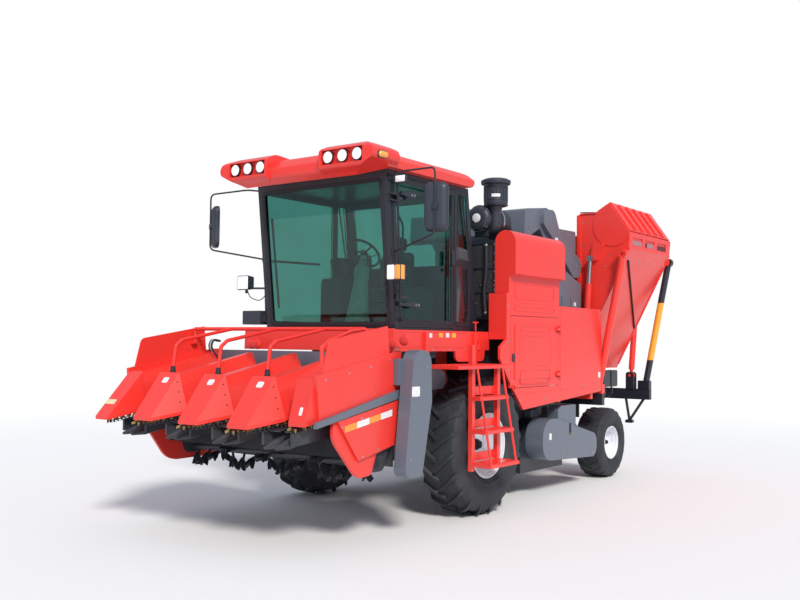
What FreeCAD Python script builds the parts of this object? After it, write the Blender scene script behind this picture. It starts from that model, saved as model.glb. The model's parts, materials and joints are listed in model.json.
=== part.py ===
"""Self-propelled four-row corn harvester, as a parametric document with one object for each sub-part.

Every length is in millimetres. The parts are drawn with the front axle at Y = 0 on the ground, +X to
the machine's left, +Y to its rear and +Z up. Each finished sub-part is then placed so that the origin
lies on the ground, half way between the divider tips and the tow ears.
"""
import FreeCAD, Part
import math
import os
import re
from types import SimpleNamespace

App = FreeCAD
V = App.Vector

SIZES = [
    # whole machine
    ("ahead", 3060, "divider tips ahead of the front axle"),
    ("behind", 4610, "tow ears behind the front axle"),
    ("gap", 0.5, "fit between two pieces that seat on each other"),
    ("run", 0.3, "running clearance of a shaft in its bore"),
    # front wheels
    ("tyre_f_rad", 725, "front tyre radius at the lug tips"),
    ("tyre_f_wide", 467, "front tyre width"),
    ("bead_f_rad", 330, "front rim bead seat radius"),
    ("track_f", 1060, "front wheel centre to the middle of the machine"),
    ("lug_f", 36, "height of a front lug"),
    ("hub_f_rad", 110, "front hub radius"),
    ("stub_f_rad", 40, "front stub shaft radius"),
    # rear wheels
    ("tyre_r_rad", 465, "rear tyre radius at the lug tips"),
    ("tyre_r_wide", 370, "rear tyre width"),
    ("bead_r_rad", 215, "rear rim bead seat radius"),
    ("track_r", 925, "rear wheel centre to the middle of the machine"),
    ("lug_r", 16, "height of a rear lug"),
    ("hub_r_rad", 80, "rear hub radius"),
    ("stub_r_rad", 34, "rear stub shaft radius"),
    ("wheelbase", 3500, "front axle to rear axle"),
    ("kingpin_x", 740, "kingpin to the middle of the machine"),
    ("kingpin_rad", 30, "kingpin radius"),
    # chassis
    ("rail_x", 430, "chassis rail to the middle of the machine"),
    ("rail_wide", 100, "chassis rail width"),
    ("rail_low", 950, "underside of the chassis rails"),
    ("rail_high", 200, "chassis rail height"),
    ("rail_front", -700, "front end of the chassis rails"),
    ("rail_rear", 4540, "rear end of the chassis rails"),
    # cab
    ("cab_half", 870, "half width of the cab"),
    ("cab_low", 1900, "underside of the cab"),
    ("cab_top", 3470, "top of the cab walls"),
    ("cab_front_low", -1110, "front of the cab at its underside"),
    ("cab_front_top", -1290, "front of the cab at its top"),
    ("cab_rear_low", 400, "rear of the cab at its underside"),
    ("cab_rear_top", 190, "rear of the cab at its top"),
    ("cab_wall", 45, "thickness of the cab walls and door"),
    ("door_rear", -70, "rear edge of the door opening"),
    ("roof_half", 980, "half width of the roof"),
    ("roof_rise", 235, "height of the roof above the cab walls"),
    # body
    ("body_half", 1230, "side panels and header sides to the middle of the machine"),
    ("sheet", 30, "thickness of the side panels"),
    ("panel_front", 470, "front edge of the service door"),
    ("panel_split", 1630, "rear edge of the service door"),
    ("panel_rear", 2850, "rear edge of the side panels"),
    ("panel_top", 2235, "top of the side panels"),
    # header
    ("head_rear", -1500, "rear face of the header trough"),
    ("row_pitch", 615, "distance between rows"),
    ("deck_low", 985, "deck height at the divider tips"),
    ("deck_rise", 0.19, "slope of the header deck"),
    ("snout_back", -2650, "rear face of the divider snouts"),
    ("snout_top", 1487, "height of a snout's upper edge"),
    ("hood_rear", -1990, "front edge of the header trough, under the divider hoods"),
    ("hood_end", -1620, "rear end of the divider hoods"),
    ("hood_top", 1670, "height of a divider hood at its rear end"),
    ("pipe_y", -1860, "cross bar of the guard pipes"),
    ("pipe_z", 1905, "height of the guard pipes' cross bar"),
    ("pivot_y", -480, "header pivot behind the front axle"),
    ("pivot_z", 1415, "height of the header pivot"),
    ("auger_y", -1740, "cross auger axis"),
    ("auger_z", 1180, "height of the cross auger axis"),
    ("auger_rad", 165, "radius of the cross auger's flights"),
    ("mower_y", -1830, "stalk chopper axis"),
    ("mower_z", 715, "height of the stalk chopper axis"),
    ("mower_rad", 215, "radius of the stalk chopper's blade tips"),
    # ear tank
    ("tank_front", 3000, "front wall of the ear tank"),
    ("tank_rear", 4430, "rear wall of the ear tank"),
    ("tank_wall", 25, "thickness of the tank's walls"),
    ("hinge_x", 1500, "tank hinge to the middle of the machine"),
    ("hinge_z", 2950, "height of the tank hinge"),
    ("post_rad", 45, "radius of the tank's hinge posts"),
]
S = SimpleNamespace(**{name: value for name, value, _ in SIZES})

doc = App.newDocument("corn_harvester")
sheet = doc.addObject("Spreadsheet::Sheet", "Sizes")
for row, (name, value, note) in enumerate(SIZES, start=1):
    sheet.set(f"A{row}", name)
    sheet.set(f"B{row}", str(value))
    sheet.setAlias(f"B{row}", name)
    sheet.set(f"C{row}", note)
doc.recompute()

nodes = []


def bound(text):
    """The expression with each size named in the sheet."""
    return re.sub(r"[a-z][a-z_]*", lambda m: "Sizes." + m.group(0), str(text))


def block(x, y, z, name="Block"):
    """A box between two expressions on each axis."""
    made = doc.addObject("Part::Box", name)
    for prop, axis, (low, high) in (("Length", "x", x), ("Width", "y", y), ("Height", "z", z)):
        made.setExpression(prop, bound(f"({high}) - ({low})"))
        made.setExpression(f"Placement.Base.{axis}", bound(low))
    return made


def bar(start, end, radius, name="Bar"):
    """A round bar between two points; its radius may be an expression."""
    a, b = V(*start), V(*end)
    made = doc.addObject("Part::Cylinder", name)
    made.setExpression("Radius", bound(radius))
    made.Height = (b - a).Length
    made.Placement = App.Placement(a, App.Rotation(V(0, 0, 1), b - a))
    return made


def corner_edges(points):
    """Edges of a closed outline of (a, b) corners; a third number rounds that corner."""
    flat = [V(p[0], p[1], 0) for p in points]
    ends = []
    for i, p in enumerate(points):
        here, before, after = flat[i], flat[i - 1], flat[(i + 1) % len(flat)]
        if len(p) == 2:
            ends.append((here, None, here))
            continue
        one, two = (before - here).normalize(), (after - here).normalize()
        half = one.getAngle(two) / 2
        reach = p[2] / math.tan(half)
        middle = here + (one + two).normalize() * (p[2] / math.sin(half) - p[2])
        ends.append((here + one * reach, middle, here + two * reach))
    edges = []
    for i, (first, middle, last) in enumerate(ends):
        if middle is not None:
            edges.append(Part.Arc(first, middle, last))
        following = ends[(i + 1) % len(ends)][0]
        if (following - last).Length > 1e-6:
            edges.append(Part.LineSegment(last, following))
    return edges


PLANES = {"x": "YZ_Plane", "y": "XZ_Plane", "z": "XY_Plane"}


def sketch_on(body, plane, edges):
    made = body.newObject("Sketcher::SketchObject", body.Name + "_outline")
    origin = [f for f in body.Origin.OriginFeatures if f.Role == plane][0]
    made.AttachmentSupport = [(origin, "")]
    made.MapMode = "FlatFace"
    for edge in edges:
        made.addGeometry(edge, False)
    return made


def panel(axis, outline, low, high, name="Panel"):
    """A padded outline: (Y, Z) along x, (X, Z) along y or (X, Y) along z, between two expressions."""
    body = doc.addObject("PartDesign::Body", name)
    outline_sketch = sketch_on(body, PLANES[axis], corner_edges(outline))
    pad = body.newObject("PartDesign::Pad", body.Name + "_pad")
    pad.Profile = outline_sketch
    pad.setExpression("Length", bound(f"({high}) - ({low})"))
    pad.Reversed = axis == "y"
    outline_sketch.Visibility = False
    body.setExpression(f"Placement.Base.{axis}", bound(low))
    return body


def turned(profile, at, name="Turned"):
    """A profile of (along X, radius) corners turned about an axis along X through the point at."""
    body = doc.addObject("PartDesign::Body", name)
    profile_sketch = sketch_on(body, "XY_Plane", corner_edges(profile))
    spin = body.newObject("PartDesign::Revolution", body.Name + "_spin")
    spin.Profile = profile_sketch
    spin.ReferenceAxis = (profile_sketch, ["H_Axis"])
    spin.Angle = 360
    body.Placement = App.Placement(V(*at), App.Rotation())
    return body


def solid_of(points, faces, name="Solid"):
    """A closed solid from corners and flat faces that list them."""
    corners = [V(*p) for p in points]
    skins = [Part.Face(Part.makePolygon([corners[i] for i in f] + [corners[f[0]]])) for f in faces]
    made = doc.addObject("Part::Feature", name)
    shape = Part.makeSolid(Part.makeShell(skins))
    if shape.Volume < 0:
        shape.reverse()
    made.Shape = shape
    return made


def fused(parts, name="Fused"):
    if len(parts) == 1:
        return parts[0]
    made = doc.addObject("Part::MultiFuse", name)
    made.Shapes = parts
    return made


def less(base, tools, name="Less"):
    made = doc.addObject("Part::Cut", name)
    made.Base = base
    made.Tool = fused(tools)
    return made


def shared(parts, name="Shared"):
    """What several pieces have in common."""
    made = doc.addObject("Part::MultiCommon", name)
    made.Shapes = parts
    return made


def apart(parts, name="Apart"):
    """Several solids that don't touch, as one sub-part."""
    made = doc.addObject("Part::Compound", name)
    made.Links = parts
    return made


def mirrored(part):
    """The same piece on the machine's right."""
    made = doc.addObject("Part::Mirroring", "Mirrored")
    made.Source = part
    made.Normal = V(1, 0, 0)
    return made


def node(label, part):
    """Names a finished sub-part, which also names its file."""
    part.Label = label
    nodes.append(part)
    return part


# ---------------------------------------------------------------- wheels
LUG_FOOT, LUG_CREST = 0.145, 0.105
SHOULDER, WALL_TOP, WALL_WIDE = 0.87, 0.80, 0.42


def tyre(label, radius, wide, bead, lug_high, pairs, at):
    """Tyre as one faceted solid with two staggered rows of slanted lugs."""
    half, tread, step = wide / 2, radius - lug_high, 360 / pairs
    wall, flat = tread - bead, wide / 2 * 0.82
    seat = bead / math.cos(math.pi / (2 * pairs)) + S.gap
    points, faces = [], []

    def corner(x, angle, r):
        a = math.radians(angle)
        points.append((x, -r * math.sin(a), -r * math.cos(a)))
        return len(points) - 1

    def row(x, start, crest, root):
        """Corners round the tyre at x: four for a lug, and two where the other row's lug stands."""
        made = []
        for k in range(pairs):
            own, other = start + k * step, start + (k + 0.5) * step
            for angle, r in ((own - step * LUG_FOOT, root), (own - step * LUG_CREST, crest),
                             (own + step * LUG_CREST, crest),
                             (own + step * LUG_FOOT, root), (other - step * LUG_FOOT, root),
                             (other + step * LUG_FOOT, root)):
                made.append(corner(x, angle, r))
        return made

    def band(one, two):
        for k in range(len(one)):
            n = (k + 1) % len(one)
            faces.append((one[k], one[n], two[n]))
            faces.append((one[k], two[n], two[k]))

    def wall_ring(x, r, proud_x=0.0, drop=0.0):
        """Corners half a pitch apart; every second one may stand out where a lug of side x ends."""
        own = 0 if x > 0 else 1
        return [corner(x + (math.copysign(proud_x, x) if k % 2 == own else 0), step + k * step / 2,
                       r - (drop if k % 2 == own else 0)) for k in range(2 * pairs)]

    middle_left = row(0, 0, radius, tread)
    middle_right = []
    for k in range(pairs):
        feet = [middle_left[6 * k + 4], middle_left[6 * k + 5]]
        crests = [corner(0, (k + 0.5) * step + turn * step * LUG_CREST, radius) for turn in (-1, 1)]
        after = 6 * ((k + 1) % pairs)
        middle_right += [feet[0], *crests, feet[1], middle_left[after], middle_left[after + 3]]
        faces.append((middle_left[6 * k + 3], middle_left[6 * k + 2], middle_left[6 * k + 1],
                      middle_left[6 * k]))
        faces.append((feet[0], *crests, feet[1]))
    left = row(half * SHOULDER, step, radius - lug_high * 0.25, tread - lug_high * 0.25)
    right = row(-half * SHOULDER, step * 1.5, radius - lug_high * 0.25, tread - lug_high * 0.25)
    walls = []
    for side in (1, -1):
        walls.append([wall_ring(side * half * 0.955, bead + wall * WALL_TOP, half * 0.03, wall * 0.06),
                      wall_ring(side * half, bead + wall * WALL_WIDE), wall_ring(side * flat, bead * 1.11),
                      wall_ring(side * flat, seat)])
    band(middle_left, left)
    for k in range(pairs):
        lug_end, gap_end, following = walls[0][0][2 * k], walls[0][0][2 * k
                                                                      + 1], walls[0][0][(2 * k
                                                                                         + 2) % (2 * pairs)]
        ring = [left[(6 * k + j) % (6 * pairs)] for j in range(7)]
        faces += [(ring[j], ring[j + 1], lug_end) for j in range(3)] + [(ring[3], gap_end, lug_end)]
        faces += [(ring[j], ring[j + 1], gap_end) for j in range(3, 6)] + [(ring[6], following, gap_end)]
    for one, two in zip(walls[0], walls[0][1:]):
        band(one, two)
    band(walls[0][3], walls[1][3])
    for one, two in zip(walls[1][:0:-1], walls[1][-2::-1]):
        band(one, two)
    for k in range(pairs):
        lug_end, gap_end = walls[1][0][2 * k + 1], walls[1][0][(2 * k + 2) % (2 * pairs)]
        following = walls[1][0][(2 * k + 3) % (2 * pairs)]
        ring = [right[(6 * k + j) % (6 * pairs)] for j in range(7)]
        faces += [(lug_end, ring[j + 1], ring[j]) for j in range(3)] + [(lug_end, gap_end, ring[3])]
        faces += [(gap_end, ring[j + 1], ring[j]) for j in range(3, 6)] + [(gap_end, following, ring[6])]
    band(right, middle_right)
    made = solid_of(points, faces, label)
    made.Placement = App.Placement(V(*at), App.Rotation())
    return made


def rim(label, bead, wide, hub, bore, hub_in, disc, at, side):
    """Rim barrel with its flanges, disc and hub in one turned piece; side is 1 on the left."""
    flat = wide / 2 * 0.82 + S.gap
    lip, skin, high = 12, 20, bead * 1.085
    profile = [
        (hub_in, bore), (hub_in, hub), (disc, hub), (disc, bead - skin), (-flat - lip, bead - skin),
        (-flat - lip, high), (-flat, high), (-flat, bead), (flat, bead), (flat, high), (flat + lip, high),
        (flat + lip, bead - skin), (disc + lip, bead - skin), (disc + lip, hub), (disc + 30, hub),
               (disc + 30, bore),
    ]
    made = turned([(side * x, r) for x, r in profile], at, label + "_turned")
    return made


def front_wheel(side, name):
    at = (side * S.track_f, 0, S.tyre_f_rad)
    node("tyre_front_" + name, tyre("tyre_front_" + name, S.tyre_f_rad, S.tyre_f_wide, S.bead_f_rad,
                                    S.lug_f, 18, at))
    hub_in = S.axle_f_end - S.track_f + 5
    node("rim_front_" + name, rim("rim_front_" + name, S.bead_f_rad, S.tyre_f_wide, S.hub_f_rad,
                                  S.stub_f_rad + S.run, hub_in, 70, at, side))


def rear_wheel(side, name):
    at = (side * S.track_r, S.wheelbase, S.tyre_r_rad)
    node("tyre_rear_" + name, tyre("tyre_rear_" + name, S.tyre_r_rad, S.tyre_r_wide, S.bead_r_rad, S.lug_r,
                                   16, at))
    hub_in = S.kingpin_x + 105 - S.track_r
    node("rim_rear_" + name, rim("rim_rear_" + name, S.bead_r_rad, S.tyre_r_wide, S.hub_r_rad,
                                 S.stub_r_rad + S.run, hub_in, 50, at, side))


S.axle_f_end = S.track_f - 200
for hand, hand_name in ((1, "left"), (-1, "right")):
    front_wheel(hand, hand_name)
    rear_wheel(hand, hand_name)


# ---------------------------------------------------------------- chassis and axles
def chassis():
    """Two rails and their cross members."""
    inner, outer = "rail_x - rail_wide / 2", "rail_x + rail_wide / 2"
    top = "rail_low + rail_high"
    rail = block((inner, outer), ("rail_front", "rail_rear"), ("rail_low", top), "Rail")
    parts = [rail, mirrored(rail)]
    across = (f"-({inner})", inner)
    for place in ("360", "1560", "tank_front - 140", "wheelbase - 60", "rail_rear - 110"):
        parts.append(block(across, (place, f"{place} + 100"), ("rail_low", "rail_low + 150"), "Cross"))
    return fused(parts, "Chassis")


def outriggers():
    """Brackets on the left rail that carry the tank's hinge posts."""
    reach = ("rail_x + rail_wide / 2", "hinge_x - 270")
    made = []
    for place in ("tank_front - 125", "tank_rear + 50"):
        made.append(block(reach, (place, f"{place} + 80"), ("rail_low + 50", "rail_low + rail_high"),
                          "Outrigger"))
    return apart(made, "Outriggers")


def tow_hitch():
    """Drop plate under the rear cross member, with two ears bored for a tow pin."""
    rear = S.behind
    plate = block(("-120", "120"), ("behind - 110", "behind - 80"), ("rail_low - 260", "rail_low"),
                  "Drop_plate")
    parts = [plate]
    for low in ("rail_low - 200", "rail_low - 120"):
        ear = panel("z", [(-60, rear - 80), (60, rear - 80), (60, rear, 40), (-60, rear, 40)], low,
                    f"{low} + 20", "Ear")
        parts.append(ear)
    hole = bar((0, rear - 42, S.rail_low - 260), (0, rear - 42, S.rail_low), 17, "Tow_bore")
    return less(fused(parts), [hole], "Tow_hitch")


def front_axle():
    """Drive axle: housing, final drives with stub shafts, gearbox and the pads under the rails."""
    end, height = S.axle_f_end, S.tyre_f_rad
    parts = [bar((-end, 0, height), (end, 0, height), 85, "Housing")]
    parts.append(block(("-190", "190"), ("-170", "200"), (height - 170, height + 150), "Gearbox"))
    for side in (1, -1):
        parts.append(bar((side * (end - 210), 0, height), (side * end, 0, height), 150, "Final_drive"))
        parts.append(bar((side * end, 0, height), (side * (end + 260), 0, height), "stub_f_rad", "Stub"))
        parts.append(block((side * S.rail_x - 45, side * S.rail_x + 45), ("-110", "110"),
                           (height, "rail_low"), "Axle_pad"))
    return fused(parts, "Front_axle")


def rear_axle():
    """Steered axle beam on its centre pivot, with a boss bored for each kingpin."""
    y, z, x = S.wheelbase, S.tyre_r_rad, S.kingpin_x
    parts = [block((-x, x), (y - 50, y + 50), (z - 50, z + 70), "Beam")]
    parts.append(block(("-150", "150"), (y - 60, y + 40), (z + 70, "rail_low"), "Pivot_bracket"))
    for side in (1, -1):
        parts.append(bar((side * x, y, z - 70), (side * x, y, z + 90), 58, "Kingpin_boss"))
    bores = [bar((side * x, y, z - 80), (side * x, y, z + 100), "kingpin_rad + run",
                 "Kingpin_bore") for side in (1, -1)]
    return less(fused(parts), bores, "Rear_axle")


def knuckle(side):
    """Steering knuckle: two plates, the kingpin between them, and the stub that carries the wheel."""
    y, z, x = S.wheelbase, S.tyre_r_rad, side * S.kingpin_x
    out = side * (S.kingpin_x + 100)
    near, far = sorted((x - side * 45, out))
    web_near, web_far = sorted((x + side * 65, out))
    parts = [
        block((near, far), (y - 45, y + 45), (z + 92, z + 117), "Upper_plate"),
        block((near, far), (y - 45, y + 45), (z - 97, z - 72), "Lower_plate"),
        block((web_near, web_far), (y - 45, y + 45), (z - 97, z + 117), "Web"),
        bar((x, y, z - 97), (x, y, z + 117), "kingpin_rad", "Kingpin"),
        bar((out, y, z), (side * (S.track_r + 70), y, z), "stub_r_rad", "Stub"),
    ]
    return fused(parts, "Knuckle")


node("chassis_frame", chassis())
node("outriggers", outriggers())
node("tow_hitch", tow_hitch())
node("front_axle", front_axle())
node("rear_axle", rear_axle())
node("knuckle_left", knuckle(1))
node("knuckle_right", knuckle(-1))


# ---------------------------------------------------------------- cab
def front_at(z, inset=0.0):
    """Y of the cab's sloped front at a height."""
    share = (z - S.cab_low) / (S.cab_top - S.cab_low)
    return S.cab_front_low + (S.cab_front_top - S.cab_front_low) * share + inset


def rear_at(z, inset=0.0):
    """Y of the cab's sloped rear at a height."""
    share = (z - S.cab_low) / (S.cab_top - S.cab_low)
    return S.cab_rear_low + (S.cab_rear_top - S.cab_rear_low) * share - inset


def cab_slice(low, high, inset):
    """Side outline of the cab between two heights."""
    return [(front_at(low, inset), low), (front_at(high, inset), high),
            (rear_at(high, inset), high), (rear_at(low, inset), low)]


FRAME_SIDE = 75
WINDOW_LOW = 85
WINDOW_TOP = 95


def front_window(inset_y, thick, grow):
    """Sloped slab through the front wall at the windscreen opening."""
    low, high = S.cab_low + WINDOW_LOW - grow, S.cab_top - WINDOW_TOP + grow
    outline = [(front_at(low, inset_y), low), (front_at(high, inset_y), high),
               (front_at(high, inset_y + thick), high), (front_at(low, inset_y + thick), low)]
    side = f"cab_half - {FRAME_SIDE} + {grow}"
    return panel("x", outline, f"-({side})", side, "Front_window")


def rear_window(inset_y, thick, grow):
    """Sloped slab through the rear wall above the engine deck."""
    low, high = S.cab_low + 750 - grow, S.cab_top - 120 + grow
    outline = [(rear_at(low, inset_y), low), (rear_at(high, inset_y), high),
               (rear_at(high, inset_y + thick), high), (rear_at(low, inset_y + thick), low)]
    side = f"cab_half - 140 + {grow}"
    return panel("x", outline, f"-({side})", side, "Rear_window")


def side_window(low_x, high_x, grow):
    """Right side window, from the front pillar to behind the seat."""
    low, high = S.cab_low + WINDOW_LOW - grow, S.cab_top - WINDOW_TOP + grow
    outline = [(front_at(low, 95 - grow), low), (front_at(high, 95 - grow), high),
               (S.door_rear + grow, high), (S.door_rear + grow, low)]
    return panel("x", outline, low_x, high_x, "Side_window")


def quarter_window(low_x, high_x, grow):
    """Small upper window behind the door."""
    low, high = S.cab_low + 880 - grow, S.cab_top - WINDOW_TOP + grow
    outline = [(S.door_rear + 75 - grow, low), (S.door_rear + 75 - grow, high),
               (rear_at(high, 60 - grow), high), (rear_at(low, 60 - grow), low)]
    return panel("x", outline, low_x, high_x, "Quarter_window")


def door_outline(inset):
    low, high = S.cab_low + 40 + inset, S.cab_top - 50 - inset
    return [(front_at(low, 60 + inset), low), (front_at(high, 60 + inset), high),
            (S.door_rear - inset, high), (S.door_rear - inset, low)]


def cab_frame():
    """Hollow cab: floor, walls and ceiling, with the windows and the door opening cut through."""
    wall = S.cab_wall
    shell = panel("x", cab_slice(S.cab_low, S.cab_top, 0), "-cab_half", "cab_half", "Cab_outside")
    room = panel("x", cab_slice(S.cab_low + wall, S.cab_top - wall, wall), "cab_wall - cab_half",
                 "cab_half - cab_wall", "Cab_inside")
    outside, inside = "cab_half + 10", "cab_half - cab_wall - 10"
    holes = [room, front_window(-30, wall + 60, 0), rear_window(-30, wall + 60, 0),
             side_window(f"-({outside})", f"-({inside})", 0),
             panel("x", door_outline(-5), inside, outside, "Door_opening"),
             quarter_window(inside, outside, 0), quarter_window(f"-({outside})", f"-({inside})", 0)]
    return less(shell, holes, "Cab_frame")


def cab_windows():
    """Fixed panes, each seated in its opening."""
    inner, outer = "cab_half - 30", "cab_half - 18"
    panes = [front_window(16, 12, -S.gap), rear_window(16, 12, -S.gap),
             side_window(f"-({outer})", f"-({inner})", -S.gap),
             quarter_window(inner, outer, -S.gap), quarter_window(f"-({outer})", f"-({inner})", -S.gap)]
    return apart(panes, "Cab_windows")


DOOR_EDGE = 60
HINGE_PIN = 8
HINGE_ARM = 18
HINGE_GAP = 6
HINGE_EAR = 14


def door_axis():
    """Where the door's vertical hinge line stands, beside the pillar's foot."""
    return S.cab_half + 25, front_at(S.cab_low) - 20


def door_hinge_heights():
    return S.cab_low + 330, S.cab_top - 270


def cab_door():
    """Door frame with two hinge arms that reach forward to the hinge line."""
    frame = panel("x", door_outline(0), "cab_half - cab_wall", "cab_half", "Door_leaf")
    pane = panel("x", door_outline(DOOR_EDGE), "cab_half - cab_wall - 10", "cab_half + 10", "Door_pane_cut")
    x, y = door_axis()
    arms = []
    for z in door_hinge_heights():
        low, high = z - HINGE_ARM, z + HINGE_ARM
        arms.append(block(("cab_half", x + 10), (y, front_at(z, 140) + 60), (low, high), "Hinge_arm"))
        arms.append(bar((x, y, low), (x, y, high), 14, "Hinge_eye"))
    bore = bar((x, y, S.cab_low), (x, y, S.cab_top), HINGE_PIN + S.run, "Hinge_bore")
    return less(fused([less(frame, [pane])] + arms), [bore], "Cab_door")


def hinge_brackets():
    """The pillar's half of each door hinge: two ears and the pin between them."""
    x, y = door_axis()
    ear = HINGE_ARM + HINGE_GAP
    parts = []
    for z in door_hinge_heights():
        pillar = front_at(z)
        for low in (z - ear - HINGE_EAR, z + ear):
            parts.append(block((S.cab_half - 12, x + 14), (pillar + 4, pillar + 50), (low, low + HINGE_EAR),
                               "Hinge_ear"))
            near, far = sorted((pillar + 40, y + 16))
            parts.append(block((S.cab_half + 6, x + 14), (near, far), (low, low + HINGE_EAR), "Hinge_ear"))
        parts.append(bar((x, y, z - ear - 2), (x, y, z + ear + 2), HINGE_PIN, "Hinge_pin"))
    return parts


def door_glass():
    return panel("x", door_outline(DOOR_EDGE + S.gap), "cab_half - 30", "cab_half - 18", "Door_glass")


POD_BACK = 350
LAMP_Z = 88


def cab_roof():
    """Roof cap with a nose over the windscreen and a lamp pod at each front corner."""
    top = S.cab_top
    nose = S.cab_front_top - POD_BACK
    crown = top + S.roof_rise - 50
    cap = [(nose + 60, top - 95, 25), (nose - 10, top - 30, 60), (nose - 10, top + 60, 40),
           (nose + 90, crown - 25, 120),
           (nose + 420, crown + 10, 600), (-600, crown + 5, 900), (S.cab_rear_top - 90, crown - 55, 130),
           (S.cab_rear_top - 20, top + 40, 40), (S.cab_rear_top - 60, top + S.gap),
           (S.cab_front_top - 5, top + S.gap)]
    half = S.roof_half + 60
    body = panel("x", cap, f"-{half}", str(half), "Roof_cap")
    pod_outline = [(nose + 40, top - 70, 30), (nose - 55, top - 20, 50), (nose - 50, crown - 20, 60),
                   (nose + 90, crown + 40, 90),
                   (nose + 520, crown + 5), (nose + 400, top + 20)]
    pod = panel("x", pod_outline, "roof_half - 630", str(half), "Roof_pod")
    rim = S.cab_front_top + 20
    front = [(-700, top - 110, 60), (700, top - 110, 60), (half, top + 60, 60), (half - 40, crown - 30, 70),
             (half - 190, crown + 36, 90),
             (190 - half, crown + 36, 90), (40 - half, crown - 30, 70), (-half, top + 60, 60)]
    rear = [(-S.roof_half + 20, top), (S.roof_half - 20, top), (S.roof_half, top + 70, 30),
            (S.roof_half - 70, crown - 40, 90),
            (S.roof_half - 400, crown + 15, 500), (400 - S.roof_half, crown + 15, 500),
            (70 - S.roof_half, crown - 40, 90), (-S.roof_half, top + 70, 30)]
    nose_form = panel("y", front, nose - 100, rim, "Nose_form")
    rear_form = panel("y", rear, rim - 120, S.cab_rear_top + 50, "Rear_form")
    nose_part = shared([fused([body, pod, mirrored(pod)]), nose_form], "Roof_nose")
    rear_part = shared([body, rear_form], "Roof_rear")
    low, high = top + LAMP_Z - 70, top + LAMP_Z + 65
    hollow = [(nose - 120, low - 10), (nose - 120, high + 10), (nose, high), (nose, low)]
    recess = panel("x", hollow, "roof_half - 600", "roof_half - 90", "Pod_recess")
    return less(fused([nose_part, rear_part]), [recess, mirrored(recess)], "Cab_roof")


def lamps():
    """Six roof lamps in the pods and a lamp at each front pillar."""
    top = S.cab_top
    y = S.cab_front_top - POD_BACK - S.gap
    made = []
    for side in (1, -1):
        for k in range(3):
            x = side * (S.roof_half - 165 - k * 180)
            made.append(bar((x, y, top + LAMP_Z), (x, y - 36, top + LAMP_Z), 57, "Roof_lamp"))
        z = S.cab_low + 560
        front = front_at(z + 75) - S.gap
        near, far = sorted((side * (S.cab_half - 50), side * (S.cab_half + 90)))
        arm = block((near, far), (front - 22, front_at(z + 20) - S.gap), (z - 20, z + 20), "Lamp_arm")
        near, far = sorted((side * (S.cab_half + 30), side * (S.cab_half + 185)))
        head = block((near, far), (front - 120, front - 22), (z - 72, z + 72), "Pillar_lamp")
        made.append(fused([arm, head]))
    return apart(made, "Lamps")


def mirror_set():
    """A mirror on a tube arm and a stay at each front corner of the cab."""
    x, y = S.track_f + S.tyre_f_wide / 2 + 205, S.cab_front_top - 90
    made = []
    for side in (1, -1):
        low, high = S.cab_top - 620, S.cab_top - 170
        near, far = sorted((side * (x - 100), side * (x + 105)))
        head = panel("y", [(near, low, 40), (far, low, 40), (far, high, 40), (near, high, 40)], y - 35,
                     y + 35, "Mirror")
        root = V(side * (S.cab_half - 30), front_at(S.cab_top - 45) - S.gap, S.cab_top - 45)
        bend = V(side * x, y, S.cab_top - 120)
        foot_z = S.cab_low + 770
        foot = V(side * (S.cab_half - 35), front_at(foot_z) - S.gap, foot_z)
        arm = bar(root, bend, 12, "Mirror_arm")
        drop = bar(bend, (side * x, y, high - 20), 12, "Mirror_drop")
        stay = bar(foot, (side * (x - 40), y, low + 30), 8, "Mirror_stay")
        knob = doc.addObject("Part::Sphere", "Mirror_bend")
        knob.Radius = 12
        knob.Placement = App.Placement(bend, App.Rotation())
        made.append(fused([head, arm, knob, drop, stay], "Mirror_one"))
    cut = []
    for piece in made:
        cab_side = panel("x", cab_slice(S.cab_low, S.cab_top, 0), "-cab_half", "cab_half", "Cab_side")
        cut.append(less(piece, [cab_side]))
    return cut


def side_box():
    """Small box on a bracket at the right front corner of the cab."""
    x, y, z = -S.cab_half - S.gap, S.cab_front_low - 60, S.cab_low + 65
    bracket = block((x - 60, x), (y + 40, y + 150), (z + 30, z + 110), "Box_bracket")
    return fused([block((x - 320, x - 50), (y, y + 190), (z, z + 150), "Box_case"), bracket], "Side_box")


def seat():
    """Operator's seat on its pedestal."""
    floor = S.cab_low + S.cab_wall
    return fused([
        block(("-150", "150"), ("-330", "-30"), (floor, floor + 330), "Pedestal"),
        block(("-250", "250"), ("-430", "60"), (floor + 330, floor + 450), "Cushion"),
        panel("x", [(-30, floor + 450), (60, floor + 450), (150, floor + 1050, 30), (50, floor + 1050, 30)],
              "-230", "230", "Back"),
    ], "Seat")


def steering():
    """Steering column and wheel."""
    floor = S.cab_low + S.cab_wall
    foot, head = V(0, -880, floor), V(0, -660, floor + 700)
    way = (head - foot).normalize()
    column = bar(foot, head, 40, "Column")
    base = block(("-90", "90"), ("-960", "-800"), (floor, floor + 60), "Column_base")
    wheel = doc.addObject("Part::Torus", "Steering_wheel")
    wheel.Radius1 = 185
    wheel.Radius2 = 14
    wheel.Placement = App.Placement(head, App.Rotation(V(0, 0, 1), way))
    spoke = bar(head - V(180, 0, 0), head + V(180, 0, 0), 11, "Spoke")
    low_clip = block(("-60", "60"), ("-960", "-790"), (floor - 80, floor), "Below_floor")
    return less(fused([column, base, wheel, spoke]), [low_clip], "Steering")


node("cab_frame", fused([cab_frame()] + hinge_brackets(), "Cab"))
node("cab_windows", cab_windows())
node("cab_door", cab_door())
node("door_glass", door_glass())
node("cab_roof", cab_roof())
node("lamps", lamps())
node("mirrors", apart(mirror_set()))
node("side_box", side_box())
node("seat", seat())
node("steering_column", steering())


# ---------------------------------------------------------------- cab deck, ladder, side panels
DECK_HALF = 1000


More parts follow.
